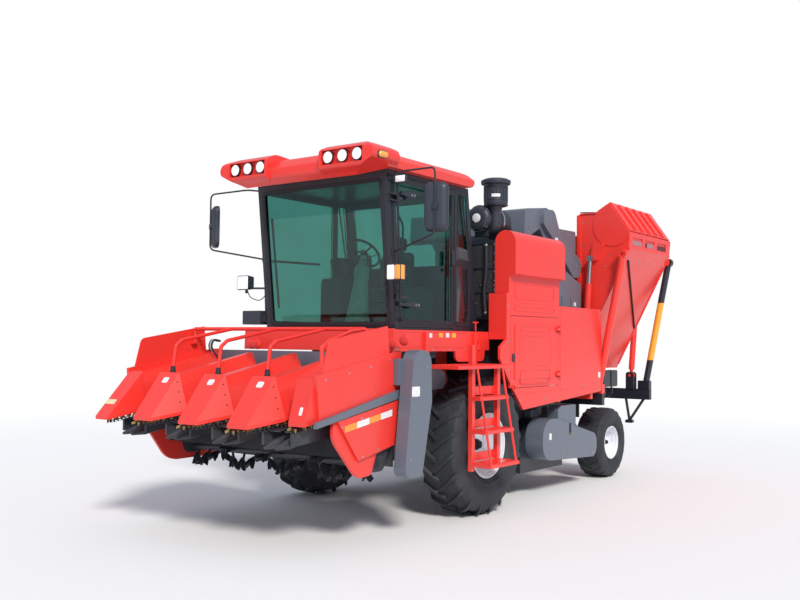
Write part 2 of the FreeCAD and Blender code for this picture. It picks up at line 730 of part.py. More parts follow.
def cab_deck():
    """Deck under the cab, its red front apron and side skirts, and the posts down to the rails."""
    top = S.cab_low
    plate = block((-DECK_HALF, DECK_HALF), (S.cab_front_low - 150, 440), ("cab_low - 40", "cab_low"),
                  "Deck_plate")
    apron_y = S.cab_front_low - 200
    apron = panel("x", [(apron_y, top + 20, 10), (apron_y + 50, top + 20, 10), (apron_y + 50, top - 200),
                        (apron_y - 20, top - 200)],
                  -DECK_HALF + 20, DECK_HALF - 20, "Apron")
    skirt = panel("x", [(apron_y, top + 10), (440, top + 10), (440, top - 190), (350, top - 190),
                        (330, top - 310, 60),
                        (-220, top - 310, 60), (-240, top - 200), (apron_y - 10, top - 200)],
                  DECK_HALF - 25, DECK_HALF, "Skirt")
    inner, outer = S.rail_x - 45, S.rail_x + 45
    posts = []
    for side in (1, -1):
        for y in (S.rail_front + 60, 300):
            near, far = sorted((side * inner, side * outer))
            posts.append(block((near, far), (y, y + 90), ("rail_low + rail_high", "cab_low - 40"),
                               "Deck_post"))
    return fused([plate, apron, skirt, mirrored(skirt)] + posts, "Cab_deck")


def ladder():
    """Boarding ladder outside the left front wheel: platform, two stiles, three treads and hand rails."""
    stile_x = S.track_f + S.tyre_f_wide / 2 + 40
    front, rear = -480, 10
    level = S.cab_low - 370
    plate = 32
    parts = [block((DECK_HALF + S.gap, stile_x + 100), (-850, rear + 200), (level, level + plate),
                   "Platform")]
    for y in (-820, 90):
        parts.append(block((DECK_HALF + S.gap, DECK_HALF + 30), (y, y + 60), (level, "cab_low - 10"),
                           "Hanger"))
    for y, high in ((front, level + 240), (rear, level + plate)):
        parts.append(block((stile_x, stile_x + 45), (y - 28, y + 28), ("515", high), "Stile"))
    outs = [stile_x + 270, stile_x + 205, stile_x + 140]
    for k, out in enumerate(outs):
        z = 560 + k * 328
        parts.append(block((stile_x, out), (front - 28, rear + 40), (z, z + 32), "Tread"))
    for y in (front, rear):
        parts.append(bar((outs[0] - 15, y, 575), (stile_x + 85, y, level + 10), 12, "Hand_rail"))
    return fused(parts, "Ladder")


def side_outline():
    """Side panel from the wheel arch to the tank."""
    axle_z = S.tyre_f_rad
    arch = S.tyre_f_rad + 85
    first = (290, axle_z + math.sqrt((arch + 125) ** 2 - 290 ** 2))
    second = (S.panel_front + 5, axle_z + math.sqrt(arch ** 2 - (S.panel_front + 5) ** 2))
    return [first, (290, 1750), (S.panel_front - 50, 1830), (S.panel_front - 50, S.panel_top + 100),
            (S.panel_front, S.panel_top + 100), (S.panel_front, S.panel_top),
            (S.panel_rear, S.panel_top, 60), (S.panel_rear, 1185), (800, 1050), second]


DOOR_LOW = 1300


def service_outline(inset):
    return [(S.panel_front + 40 + inset, DOOR_LOW + inset), (S.panel_front + 40 + inset, 2090 - inset),
            (S.panel_split - inset, 2090 - inset), (S.panel_split - inset, DOOR_LOW + inset)]


def side_panel(side):
    """Side panel with its service door opening, its front return and the brackets to the chassis."""
    inner, outer = "body_half - sheet", "body_half"
    skin = panel("x", side_outline(), inner, outer, "Side_skin")
    opening = panel("x", service_outline(-5), "body_half - sheet - 10", "body_half + 10", "Service_opening")
    return_plate = block(("body_half - 225", inner), ("panel_front - 50", "panel_front - 20"),
                         ("1830", "panel_top + 100"), "Front_return")
    brackets = [block(("rail_x + rail_wide / 2", inner), (y, y + 60),
                      ("rail_low + rail_high - 60", "rail_low + rail_high"),
                      "Bracket") for y in (1700, 2600)]
    risers = [block(("body_half - sheet - 25", inner), (y, y + 60), ("rail_low + rail_high - 60", "1420"),
                    "Riser")
              for y in (1700, 2600)]
    x, y = service_axis()
    ear = HINGE_ARM + HINGE_GAP
    hinges = []
    for z in service_hinge_heights():
        for low in (z - ear - HINGE_EAR, z + ear):
            hinges.append(block((S.body_half - 5, x + 14), (y - 12, y + 45), (low, low + HINGE_EAR),
                                "Service_ear"))
        hinges.append(bar((x, y, z - ear - 2), (x, y, z + ear + 2), HINGE_PIN, "Service_pin"))
    made = fused([less(fused([skin, return_plate] + brackets + risers), [opening])] + hinges, "Side_panel")
    return made if side > 0 else mirrored(made)


def service_axis():
    """Where the service door's vertical hinge line stands, at the door's rear edge."""
    return S.body_half + 20, S.panel_split + 18


def service_hinge_heights():
    return DOOR_LOW + 130, 2090 - 130


def service_door(side):
    """Service door with its hinge knuckles on the rear edge."""
    leaf = panel("x", service_outline(0), "body_half - sheet", "body_half", "Service_leaf")
    band = panel("x", service_outline(90), "body_half", "body_half + 8", "Service_boss")
    x, y = service_axis()
    arms = []
    for z in service_hinge_heights():
        low, high = z - HINGE_ARM, z + HINGE_ARM
        arms.append(block((S.body_half + 6, x + 10), (y - 80, y), (low, high), "Service_arm"))
        arms.append(block((S.body_half - 5, x + 10), (y - 80, y - 40), (low, high), "Service_arm"))
        arms.append(bar((x, y, low), (x, y, high), 13, "Service_eye"))
    bore = bar((x, y, DOOR_LOW), (x, y, 2090), HINGE_PIN + S.run, "Service_bore")
    made = less(fused([leaf, band] + arms), [bore], "Service_door")
    return made if side > 0 else mirrored(made)


node("cab_deck", cab_deck())
node("ladder", ladder())
for hand, hand_name in ((1, "left"), (-1, "right")):
    node("service_door_" + hand_name, service_door(hand))
node("side_panels", apart([side_panel(1), side_panel(-1)]))


# ---------------------------------------------------------------- power plant, elevator, husker
def radiator_duct():
    """Air duct on the left with a rounded overhanging top."""
    inner, outer = S.body_half - 180, S.body_half
    lip = outer + 80
    low = S.panel_top
    duct = [(inner, low + 105), (inner, low + 795, (lip - inner) / 2 - 1),
            (lip, low + 795, (lip - inner) / 2 - 1),
            (lip, low + 310), (outer, low + 290), (outer, low + S.gap), (outer - 100, low + S.gap),
            (outer - 100, low + 105)]
    return panel("y", duct, "panel_front + gap", "panel_split + 30", "Radiator_duct")


def engine():
    """Engine as one plain block on the rails."""
    top = "rail_low + rail_high"
    body = block(("rail_x - 45", "rail_x + 480"), ("560", "1500"), (f"{top} + 60", f"{top} + 900"),
                 "Engine_block")
    feet = [block(("rail_x - 40", "rail_x + 40"), (y, y + 90), (top, f"{top} + 60"),
                  "Engine_foot") for y in (600, 1370)]
    return fused([body] + feet, "Engine")


def cooling_pack():
    """Radiator and its shroud behind the left air duct, carried on the engine."""
    z = "rail_low + rail_high + 900"
    core = block(("rail_x + 40", "body_half - 180 - gap"), ("500", "1600"), (z, "2920"), "Core")
    cowl = block(("rail_x - 110", "rail_x + 40"), ("620", "1450"), (z, "2700"), "Cowl")
    return fused([core, cowl], "Cooling_pack")


def air_filter():
    """Air cleaner canister along Y with an upright pre-cleaner, on a bracket over the cooling pack."""
    x, z = 760, 3200
    can = turned([(0, 0), (0, 70), (25, 150, 15), (520, 150, 15), (520, 0)], (0, 0, 0), "Canister")
    can.Placement = App.Placement(V(x, 580, z), App.Rotation(V(0, 0, 1), 90))
    stack = turned([(0, 0), (0, 125), (200, 125), (212, 170), (262, 170), (290, 100), (290, 0)], (0, 0, 0),
                   "Pre_cleaner")
    stack.Placement = App.Placement(V(x + 165, 690, z + 165), App.Rotation(V(0, 1, 0), -90))
    elbow = bar((x, 690, z), (x + 165, 690, z + 175), 70, "Elbow")
    saddle = block((x - 60, x + 60), ("700", "1000"), ("2920 + gap", z), "Saddle")
    return fused([can, stack, elbow, saddle], "Air_filter")


def fuel_tank():
    """Fuel tank on the right rail behind the cab."""
    out = S.sheet + 100 - S.body_half
    outline = [(out, 1500, 60), (-S.rail_x + 40, 1500, 60), (-S.rail_x + 40, 2280, 60), (out, 2280, 60)]
    tank = panel("y", outline, "560", "1480", "Fuel_body")
    feet = [block((-S.rail_x - 45, -S.rail_x + 35), (y, y + 80), ("rail_low + rail_high", "1520"),
                  "Fuel_foot") for y in (620, 1330)]
    return fused([tank] + feet, "Fuel_tank")


def elevator():
    """Ear elevator: a low run under the cab, then a steep run up to the distributor hood."""
    thick = 300
    low, bend, high = V(-150, 1335, 0), V(560, 1500, 0), V(1900, 3060, 0)
    outline = [(low.x, low.y - 120), (bend.x + 60, bend.y - thick / 2), (high.x + 160, high.y - 90),
               (high.x - 40, high.y + 140), (bend.x - 40, bend.y + thick / 2 - 10), (low.x, low.y + 160)]
    run = panel("x", outline, "-300", "300", "Elevator_run")
    feet = [block((side * 300 if side > 0 else -S.rail_x + 50, S.rail_x - 50 if side > 0 else -300),
                  (380, 440), ("rail_low + 150", "rail_low + 500"), "Elevator_foot") for side in (1, -1)]
    return fused([run] + feet, "Elevator")


def distributor():
    """Hood over the elevator head that spreads ears across the husker, with its chain case on the left."""
    hood_outline = [(1490, 3120), (1510, 3420, 40), (2060, 3490, 60), (2160, 3470, 60), (2270, 3260, 60),
                    (2880, 3270, 30),
                    (2880, 2990), (2300, 2930), (2300, 2750), (2080, 2750), (2075, 3010), (1880, 3215),
                    (1560, 3060)]
    hood = panel("x", hood_outline, "-850", "850", "Hood")
    case_outline = [(1900, 3450, 110), (2160, 3470, 110), (2340, 3160, 90), (2940, 2880, 90),
                    (2890, 2660, 90), (2700, 2650, 80),
                    (2140, 3100, 60), (1880, 3260, 60)]
    case = panel("x", case_outline, "850", "910", "Chain_case")
    return fused([hood, case], "Distributor")


def husker():
    """Husking unit across the machine, with sloped top and legs on the rails."""
    outline = [(1760, 1350), (1760, 2300), (2060, 2750), (2300, 2750), (2840, 2560), (2840, 1700),
               (2700, 1350)]
    box = panel("x", outline, "280 - body_half", "body_half - 280", "Husker_box")
    legs = []
    for side in (1, -1):
        near, far = sorted((side * (S.rail_x - 45), side * (S.rail_x + 45)))
        for y in (1780, 2600):
            legs.append(block((near, far), (y, y + 90), ("rail_low + rail_high", "1360"), "Husker_leg"))
    return fused([box] + legs, "Husker")


def residue_chopper():
    """Residue chopper housing across the machine between the axles."""
    outline = [(1180, 280), (1180, 640, 120), (1500, 900, 120), (2150, 900, 100), (2250, 620), (2250, 280)]
    hood = panel("x", outline, "-980", "980", "Chopper_hood")
    arms = []
    for side in (1, -1):
        near, far = sorted((side * (S.rail_x - 30), side * (S.rail_x + 30)))
        arms.append(block((near, far), ("1600", "1700"), ("850", "rail_low"), "Chopper_arm"))
    return fused([hood] + arms, "Residue_chopper")


def drive_case():
    """Belt case on the left of the residue chopper, with a tension box on top."""
    big, small = V(1540, 665, 0), V(2620, 500, 0)
    case = panel("x", [(big.x - 235, big.y - 235, 200), (small.x + 140, small.y - 140, 120),
                       (small.x + 140, small.y + 145, 120),
                       (big.x + 100, big.y + 240, 100), (big.x - 235, big.y + 240, 220)], "980", "1210",
                 "Case_body")
    top = panel("x", [(1800, 800), (1800, 990, 20), (1880, 1040), (2280, 1040, 20), (2280, 740)], "1000",
                "1150", "Case_top")
    return fused([case, top], "Drive_case")


node("radiator_duct", radiator_duct())
node("engine", engine())
node("cooling_pack", cooling_pack())
node("air_filter", air_filter())
node("fuel_tank", fuel_tank())
node("elevator", elevator())
node("distributor", distributor())
node("husker", husker())
node("residue_chopper", residue_chopper())
node("drive_case", drive_case())


# ---------------------------------------------------------------- ear tank
CHUTE_LOW = (760, 1450)
CHUTE_HIGH = (1545, 3020)
LIP_TOP = (1560, 3235)
GATE_TOP = (1275, 3640)
TANK_RIGHT = -1150
TANK_RIM = 3230


def tank_outline(inset):
    """Front outline of the tank as (X, Z), wider towards the discharge side."""
    return [
        (TANK_RIGHT + inset, 2000 + inset * 0.4), (-700 + inset * 0.4, CHUTE_LOW[1] + inset),
            (CHUTE_LOW[0] - inset * 0.6, CHUTE_LOW[1] + inset),
        (CHUTE_HIGH[0] - inset * 1.1, CHUTE_HIGH[1]), (LIP_TOP[0] - inset, LIP_TOP[1]),
            (GATE_TOP[0] - inset, GATE_TOP[1] - inset * 0.4),
        (1090, GATE_TOP[1] - 110 - inset), (830 + inset, 3510 - inset), (820 + inset, TANK_RIM),
            (TANK_RIGHT + inset, TANK_RIM),
    ]


def ear_tank():
    """Side-tipping tank: hollow, open above and at the gate, with hinge ears on both end walls."""
    outside = panel("y", tank_outline(0), "tank_front", "tank_rear", "Tank_outside")
    inside = panel("y", tank_outline(S.tank_wall), "tank_front + tank_wall", "tank_rear - tank_wall",
                   "Tank_inside")
    wall = S.tank_wall
    top_open = panel("y", [(TANK_RIGHT + wall, TANK_RIM - 60), (TANK_RIGHT + wall, GATE_TOP[1] + 60),
                           (GATE_TOP[0] - 60, GATE_TOP[1] + 60),
                           (GATE_TOP[0] - 60, TANK_RIM - 60)], "tank_front + tank_wall",
                     "tank_rear - tank_wall", "Tank_top_opening")
    gate_open = panel("y", [(LIP_TOP[0] - 130, LIP_TOP[1] + 10), (LIP_TOP[0] + 60, LIP_TOP[1] + 10),
                            (GATE_TOP[0] + 60, GATE_TOP[1] + 60),
                            (GATE_TOP[0] - 130, GATE_TOP[1] + 60)], "tank_front + tank_wall",
                      "tank_rear - tank_wall", "Gate_opening")
    windows = [block((CHUTE_HIGH[0] - 4, LIP_TOP[0] + 40),
                     (f"tank_front + {low}", f"tank_front + {low + 330}"),
                     (CHUTE_HIGH[1] + 55, LIP_TOP[1] - 55), "Window_pocket") for low in (110, 530, 950)]
    shell = less(outside, [inside, top_open, gate_open] + windows)
    x, z = S.hinge_x, S.hinge_z
    column = block((820, 870), ("tank_front - 22", "tank_front"), (2300, 3500), "Corner_column")
    parts = [shell, column]
    for face, out in ((S.tank_front, -1), (S.tank_rear, 1)):
        near, far = sorted((face, face + out * 8))
        disc = bar((GATE_TOP[0] + 55, near, GATE_TOP[1] - 290), (GATE_TOP[0] + 55, far, GATE_TOP[1] - 290),
                   285, "Cheek_disc")
        parts.append(shared([disc, panel("y", tank_outline(0), near, far, "Cheek_form")], "Cheek"))
        near, far = sorted((face, face + out * 95))
        parts.append(bar((x, near, z), (x, far, z), 22, "Hinge_pin"))
        near, far = sorted((face, face + out * 20))
        parts.append(panel("y", [(x - 60, z + 70, 20), (x - 60, z - 60, 20), (x + 40, z - 40, 30),
                                 (x + 40, z + 70, 30)], near, far, "Hinge_ear"))
        near, far = sorted((face, face + out * 45))
        eye_x, eye_z = cylinder_eye()
        parts.append(panel("y", [(eye_x - 50, eye_z - 50, 20), (eye_x + 70, eye_z - 20, 20),
                                 (eye_x + 160, eye_z + 190, 20), (eye_x + 20, eye_z + 210, 20)],
                           near, far, "Cylinder_bracket"))
    return fused(parts, "Ear_tank")


def cylinder_eye():
    """Where the tipping rods meet the tank, as (X, Z)."""
    return S.hinge_x - 450, S.hinge_z - 40


def cylinder_foot():
    """Where the tipping cylinders pivot on the chassis, as (X, Z)."""
    return S.hinge_x - 560, S.rail_low + S.rail_high + 190


def tank_gate():
    """Ribbed discharge gate, hinged along its upper edge."""
    (low_x, low_z), (high_x, high_z) = LIP_TOP, GATE_TOP
    run = math.hypot(low_x - high_x, low_z - high_z)
    length = run - 25
    leaf = block((0, 18), ("tank_front + tank_wall + 8", "tank_rear - tank_wall - 8"), (-length, 0),
                 "Gate_leaf")
    ribs = []
    span = S.tank_rear - S.tank_front
    for k in range(5):
        y = S.tank_front + span * (k + 1) / 6
        ribs.append(block((18, 42), (y - 32, y + 32), (-length + 20, -30), "Gate_rib"))
    barrel = bar((0, S.tank_front + S.tank_wall + S.run, 0), (0, S.tank_rear - S.tank_wall - S.run, 0), 14,
                 "Gate_hinge")
    made = doc.addObject("Part::Feature", "Gate")
    doc.recompute()
    shape = leaf.Shape.multiFuse([rib.Shape for rib in ribs] + [barrel.Shape])
    made.Shape = shape
    lean = math.degrees(math.atan2(low_x - high_x, high_z - low_z))
    made.Placement = App.Placement(V(high_x - 4, 0, high_z - 2), App.Rotation(V(0, 1, 0), -lean))
    return made


def hinge_post(y):
    """Leaning post from its outrigger to a forked head round the tank's hinge pin."""
    foot = V(S.hinge_x - 350, y, S.rail_low + S.rail_high)
    head = V(S.hinge_x, y, S.hinge_z)
    way = (head - foot).normalize()
    post = bar(foot - way * 60, head - way * 40, "post_rad", "Post")
    eye = bar(head - V(0, 38, 0), head + V(0, 38, 0), 62, "Post_eye")
    bore = bar(head - V(0, 60, 0), head + V(0, 60, 0), 22 + S.run, "Post_bore")
    shoe = block((S.hinge_x - 440, S.hinge_x - 270), (y - 45, y + 45),
                 ("rail_low + rail_high", "rail_low + rail_high + 120"), "Post_shoe")
    below = block((S.hinge_x - 600, S.hinge_x), (y - 80, y + 80),
                  ("rail_low - 100", "rail_low + rail_high"), "Post_trim")
    return less(fused([post, eye, shoe]), [bore, below], "Hinge_post")


CYL_FRONT = S.tank_front - 90
CYL_REAR = S.tank_rear + 90


def tip_barrels():
    """Barrels of the two tipping cylinders, in front of and behind the tank."""
    foot_x, foot_z = cylinder_foot()
    eye_x, eye_z = cylinder_eye()
    way = V(eye_x - foot_x, 0, eye_z - foot_z)
    length = way.Length
    way.normalize()
    made = []
    for y in (CYL_FRONT, CYL_REAR):
        foot = V(foot_x, y, foot_z)
        neck = bar(foot, foot + way * 100, 24, "Barrel_neck")
        tube = bar(foot + way * 85, foot + way * (length - 330), 42, "Barrel")
        eye = bar(foot - V(0, 25, 0), foot + V(0, 25, 0), 48, "Barrel_eye")
        pin = bar(foot - V(0, 60, 0), foot + V(0, 60, 0), 20, "Barrel_pin")
        bore = bar(foot + way * (length - 975), foot + way * (length - 300), 26.5, "Barrel_bore")
        made.append(less(fused([neck, tube, eye, pin]), [bore]))
    return apart(made, "Tip_barrels")


def tip_rods():
    """Rods of the tipping cylinders, each with its eye beside the tank's bracket."""
    foot_x, foot_z = cylinder_foot()
    eye_x, eye_z = cylinder_eye()
    way = V(eye_x - foot_x, 0, eye_z - foot_z)
    length = way.Length
    way.normalize()
    made = []
    for y in (CYL_FRONT, CYL_REAR):
        foot = V(foot_x, y, foot_z)
        rod = bar(foot + way * (length - 960), foot + way * length, 26, "Rod")
        eye = bar(foot + way * length - V(0, 28, 0), foot + way * length + V(0, 28, 0), 42, "Rod_eye")
        made.append(fused([rod, eye]))
    return apart(made, "Tip_rods")


def cylinder_feet():
    """Forked chassis brackets for the tipping cylinders."""
    foot_x, foot_z = cylinder_foot()
    made = []
    for y in (CYL_FRONT, CYL_REAR):
        for side in (-1, 1):
            near, far = sorted((y + side * 32, y + side * 56))
            plate = panel("y", [(foot_x - 60, S.rail_low + S.rail_high),
                                (foot_x + 60, S.rail_low + S.rail_high), (foot_x + 60, foot_z + 50, 40),
                                (foot_x - 60, foot_z + 50, 40)], near, far, "Foot_plate")
            hole = bar((foot_x, y - 80, foot_z), (foot_x, y + 80, foot_z), 20 + S.run, "Foot_bore")
            made.append(less(plate, [hole]))
    return apart(made, "Cylinder_feet")


node("ear_tank", ear_tank())
node("tank_gate", tank_gate())
node("hinge_post_front", hinge_post(S.tank_front - 85))
node("hinge_post_rear", hinge_post(S.tank_rear + 85))
node("tip_cylinder_barrels", tip_barrels())
node("tip_cylinder_rods", tip_rods())


# ---------------------------------------------------------------- header
TIP_Y = -S.ahead
HALF = S.body_half


def deck_at(y):
    """Height of the sloped deck at a distance behind the front axle."""
    return S.deck_low + (y - TIP_Y) * S.deck_rise


def lofted(rings, name):
    """A closed solid through rings of corners; the first and last ring are flat."""
    size = len(rings[0])
    points = [corner for ring in rings for corner in ring]
    last = (len(rings) - 1) * size
    faces = [tuple(reversed(range(size))), tuple(range(last, last + size))]
    for start in range(0, last, size):
        for i in range(size):
            a, b = start + i, start + (i + 1) % size
            faces += [(a, b, b + size), (a, b + size, a + size)]
    return solid_of(points, faces, name)


SNOUT_RIM = 30
RIM_LIFT = 50
CHAIN_ROOM = 35
ROW_GAP = 45


def snout(place, left, right, tip):
    """Divider snout: a sloped front strip between two flared sides, with a low rim round its foot."""
    foot_l, foot_r = min(120, left), min(120, right)
    top_l, top_r = min(135, left), min(135, right)
    back = S.snout_back
    rim_front, rim_back = deck_at(tip) + RIM_LIFT + SNOUT_RIM, deck_at(back) + RIM_LIFT + SNOUT_RIM
    points = [
        (place - foot_r, tip, rim_front - SNOUT_RIM), (place + foot_l, tip, rim_front - SNOUT_RIM),
        (place - foot_r, tip, rim_front), (place + foot_l, tip, rim_front),
        (place - right, back, rim_back - SNOUT_RIM), (place + left, back, rim_back - SNOUT_RIM),
        (place - right, back, rim_back), (place + left, back, rim_back),
        (place - top_r, back, S.snout_top), (place + top_l, back, S.snout_top),
    ]
    faces = [(0, 4, 5, 1), (0, 1, 3, 2), (1, 5, 7, 3), (0, 2, 6, 4), (2, 3, 9, 8), (4, 6, 8, 9, 7, 5)]
    faces.append((3, 7, 9))
    faces.append((2, 8, 6))
    return solid_of(points, faces, "Snout")


HOOD_HALF = 262
HOOD_EDGE = 60


def hood_reach(size, reach):
    """How far a hood's corner goes to one side: to the header side, or its share of the way to the row."""
    return reach if reach <= HOOD_EDGE else size * reach / HOOD_HALF


def hood(place, left, right):
    """Divider hood: from behind the snout up over the cross auger, with a crest and two flanks."""
    front = S.snout_back - 5
    sections = (
        (front, HOOD_HALF, deck_at(front) + 55, 165, 1350, 45, S.snout_top - 35),
        (S.hood_rear, 215, deck_at(S.hood_rear) + 115, 120, 1450, 38, 1590),
        (S.hood_end, 130, 1500, 95, 1565, 32, S.hood_top),
    )
    rings = []
    for y, wide, low, mid, mid_z, crest, crest_z in sections:
        half = ((wide, low), (mid, mid_z), (crest, crest_z))
        ring = [(place + hood_reach(size, left), y, z) for size, z in half]
        ring += [(place - hood_reach(size, right), y, z) for size, z in reversed(half)]
        rings.append(ring)
    return lofted(rings, "Hood")


def divider(place, left, right, tip):
    """Divider on the line X = place: snout and hood, reaching left and right of it."""
    return fused([snout(place, left, right, tip), hood(place, left, right)], "Divider")


def gathering_chain(place, side, reach, tip):
    """One gathering chain loop beside its row, with lugs on the run that faces the row."""
    low, high, wide = S.gap - 2, 38, 22
    front, knee, rear = tip - CHAIN_NOSE, S.snout_back + 15, S.hood_rear + 30
    near = min(104, reach * 0.5)
    outer = [(near, front), (reach, knee), (reach - 30, rear), (60, rear), (14, front)]
    inner = [(near - 8, front + 40), (reach - wide - 4, knee), (reach - 30 - wide, rear - 18),
             (60 + wide, rear - 18),
             (14 + wide, front + 40)]
    points = []
    for ring in (outer, inner):
        for a, y in ring:
            points.append((place + side * a, y, deck_at(y) + low))
            points.append((place + side * a, y, deck_at(y) + high))
    count = len(outer)
    faces = []
    for k in range(count):
        n = (k + 1) % count
        a, b, c, d = 2 * k, 2 * n, 2 * count + 2 * k, 2 * count + 2 * n
        faces += [(a, b, b + 1, a + 1), (c, c + 1, d + 1, d), (a, c, d, b), (a + 1, b + 1, d + 1, c + 1)]
    loop = solid_of(points, faces, "Chain_loop")
    lugs = []
    for k in range(4):
        y = knee + 60 + k * 140
        base = place + side * (reach - 30 * (y - knee) / (rear - knee))
        near_x, far_x = sorted((base - side * 8, base + side * 24))
        z = deck_at(y)
        lugs.append(block((near_x, far_x), (y - 12, y + 12), (z + low + 6, z + high - 6), "Chain_lug"))
    return fused([loop] + lugs, "Gathering_chain")


def row_unit(place):
    """Frame arms, deck plates and gearbox of one row."""
    front, rear = TIP_Y + 260, S.hood_rear + 40
    parts = []
    for side in (-1, 1):
        a, b = sorted((place + side * 150, place + side * 175))
        parts.append(panel("x", [(front, deck_at(front) - 110), (front, deck_at(front) - 2),
                                 (rear, deck_at(rear) - 2), (rear, deck_at(rear) - 190)],
                           a, b, "Arm"))
        a, b = sorted((place + side * 30, place + side * 150))
        parts.append(panel("x", [(front + 60, deck_at(front + 60) - 14),
                                 (front + 60, deck_at(front + 60) - 2), (rear, deck_at(rear) - 2),
                                 (rear, deck_at(rear) - 14)], a, b, "Deck_plate"))
    parts.append(panel("x", [(rear - 170, deck_at(rear) - 240), (rear - 170, deck_at(rear) - 60),
                             (rear, deck_at(rear) - 60), (rear, deck_at(rear) - 240)],
                       place - 175, place + 175, "Row_gearbox"))
    return fused(parts, "Row_unit")


def snapping_rolls(place):
    """The pair of snapping rolls under one row, each with a tapered nose."""
    made = []
    front = TIP_Y + 330
    rear = S.hood_rear - 130 - S.gap - 44 * math.sin(math.atan(S.deck_rise))
    for side in (-1, 1):
        x = place + side * 62
        drop = 110
        a = V(x, front, deck_at(front) - drop)
        b = V(x, rear, deck_at(rear) - drop)
        way = (b - a).normalize()
        cone = doc.addObject("Part::Cone", "Roll_nose")
        cone.Radius1, cone.Radius2, cone.Height = 12, 44, 150
        cone.Placement = App.Placement(a - way * 150, App.Rotation(V(0, 0, 1), way))
        made.append(fused([cone, bar(a, b, 44, "Roll")]))
    return made


ROWS = [(k - 1.5) * S.row_pitch for k in range(4)]
LINES = [(k - 2) * S.row_pitch for k in range(5)]
CHAIN_NOSE = 28
TIPS = [TIP_Y + CHAIN_NOSE, TIP_Y + 100, TIP_Y + 100, TIP_Y + 100, TIP_Y + 290]


def header_frame():
    """Trough, rear wall, end plates and the main beam that carry the row units."""
    trough_front = S.hood_rear + 40
    z, r, thick = S.auger_z, S.auger_rad + 25, 12
    inner = "body_half - sheet"
    outline = [(trough_front, deck_at(trough_front) - 20), (trough_front, z - r - 40),
               (S.head_rear, z - r - 40), (S.head_rear, 1690),
               (S.head_rear - thick, 1690), (S.head_rear - thick, z - 20), (S.auger_y + 120, z - r),
               (S.auger_y - 110, z - r),
               (trough_front + thick, z - 100), (trough_front + thick, deck_at(trough_front) - 20)]
    trough = panel("x", outline, f"-({inner})", inner, "Trough")
    mouth = block(("-260", "260"), (S.head_rear - 40, S.head_rear + 10), (z - 140, z + 200), "Mouth")
    arms = []
    for side in (1, -1):
        near, far = sorted((side * 380, side * 520))
        arms.append(panel("x", [(S.head_rear - 60, 960), (S.head_rear, 740), (S.head_rear + 60, 740),
                                (S.head_rear + 60, 800), (S.head_rear + 10, 960)], near, far, "Lift_lug"))
    return less(fused([trough] + arms), [mouth], "Header_frame")


def header_side(side):
    """Header side: main panel, round nose below it, upper shield and lower plate."""
    outer, inner = HALF, HALF - S.sheet
    main = [(-2670, 1510), (-1585, 1700), (S.head_rear, 1700)]
    if side > 0:
        main += [(S.head_rear, 880), (-1860, 800), (-1930, 620, 60), (-2130, 610, 160)]
    else:
        main += [(S.head_rear, 580, 60), (-2160, 570, 260)]
    main += [(-2490, 1000, 200), (-2440, 1120), (-2620, 1100)]
    plate = panel("x", main, inner, outer, "Header_plate")
    shield = panel("x", [(-2585, 1520), (-2510, 1800, 60), (-1700, 1935), (-1670, 1680)], outer - 20,
                   outer - 8, "Shield")
    lower = panel("x", [(-2420, 1120), (-2140, 765), (-1590, 870), (-1530, 1270)], outer, outer + 25,
                  "Lower_plate")
    made = fused([plate, shield, lower], "Header_side")
    return made if side > 0 else mirrored(made)


def header_bar(side):
    """Grey bar on the outside of a header side."""
    outer = HALF + S.gap
    strip = panel("x", [(-2700, 1075), (-2700, 1125), (S.head_rear, 1370), (S.head_rear, 1290)], outer,
                  outer + 35, "Side_bar")
    return strip if side > 0 else mirrored(strip)


def guard_pipes():
    """Bent guard pipes over the dividers, joined by a cross bar whose left end bends down."""
    y, z, x = S.pipe_y, S.pipe_z, HALF - S.sheet - 30
    parts = [bar((-x, y, z), (x - 90, y, z), 19, "Cross_bar")]
    runs = [[V(x - 90, y, z), V(x, y, z - 60), V(x, y, 1760)], [V(-x, y, z), V(-x, y, 1760)]]
    end = HALF - 20 - S.gap - 17
    runs.append([V(end, -2560, 1560), V(end, -2565, 1740), V(end, -2460, 1800), V(end - 60, -2120, 1880),
                 V(x - 90, y, z)])
    for line in LINES[1:4]:
        foot = S.snout_back + 28
        runs.append([V(line, foot, S.snout_top - 60), V(line, foot + 42, 1735), V(line, foot + 115, 1788),
                     V(line, y, z)])
    for run in runs:
        for start, end in zip(run, run[1:]):
            parts.append(bar(start, end, 17, "Pipe"))
        for joint in run[:-1] if run[0].x != run[1].x else run[1:-1]:
            ball = doc.addObject("Part::Sphere", "Pipe_bend")
            ball.Radius = 17
            ball.Placement = App.Placement(joint, App.Rotation())
            parts.append(ball)
    for side in (1, -1):
        near, far = sorted((side * (x - 10), side * (HALF - 20 - S.gap)))
        parts.append(block((near, far), (y - 30, y + 30), ("1750", "1810"), "Leg_foot"))
    hoods = [hood(line, HOOD_HALF, HOOD_HALF) for line in LINES[1:4]]
    return less(fused(parts), hoods, "Guard_pipes")


def header_drive_case():
    """Chain case on the header's left end, on a stem from the header side."""
    outline = [(-1555, 1720, 125), (-1290, 1720, 125), (-1270, 1250, 60), (-1420, 570, 90),
               (-1690, 570, 90)]
    case = panel("x", outline, HALF + 60, HALF + 190, "Header_chain_case")
    stem = block((HALF + S.gap, HALF + 60), ("head_rear - 120", "head_rear"), ("1400", "1640"), "Case_stem")
    return fused([case, stem], "Header_drive_case")


def input_case():
    """Input drive case from the header's left end back to its own round end on the header pivot."""
    y, z = S.pivot_y, S.pivot_z
    outline = [(S.head_rear + S.gap, 1610, 40), (-900, 1600, 60), (y + 75, z + 75, 74),
               (y + 75, z - 95, 84), (S.head_rear + S.gap, 1290, 40)]
    return panel("x", outline, "880", "990", "Input_case")


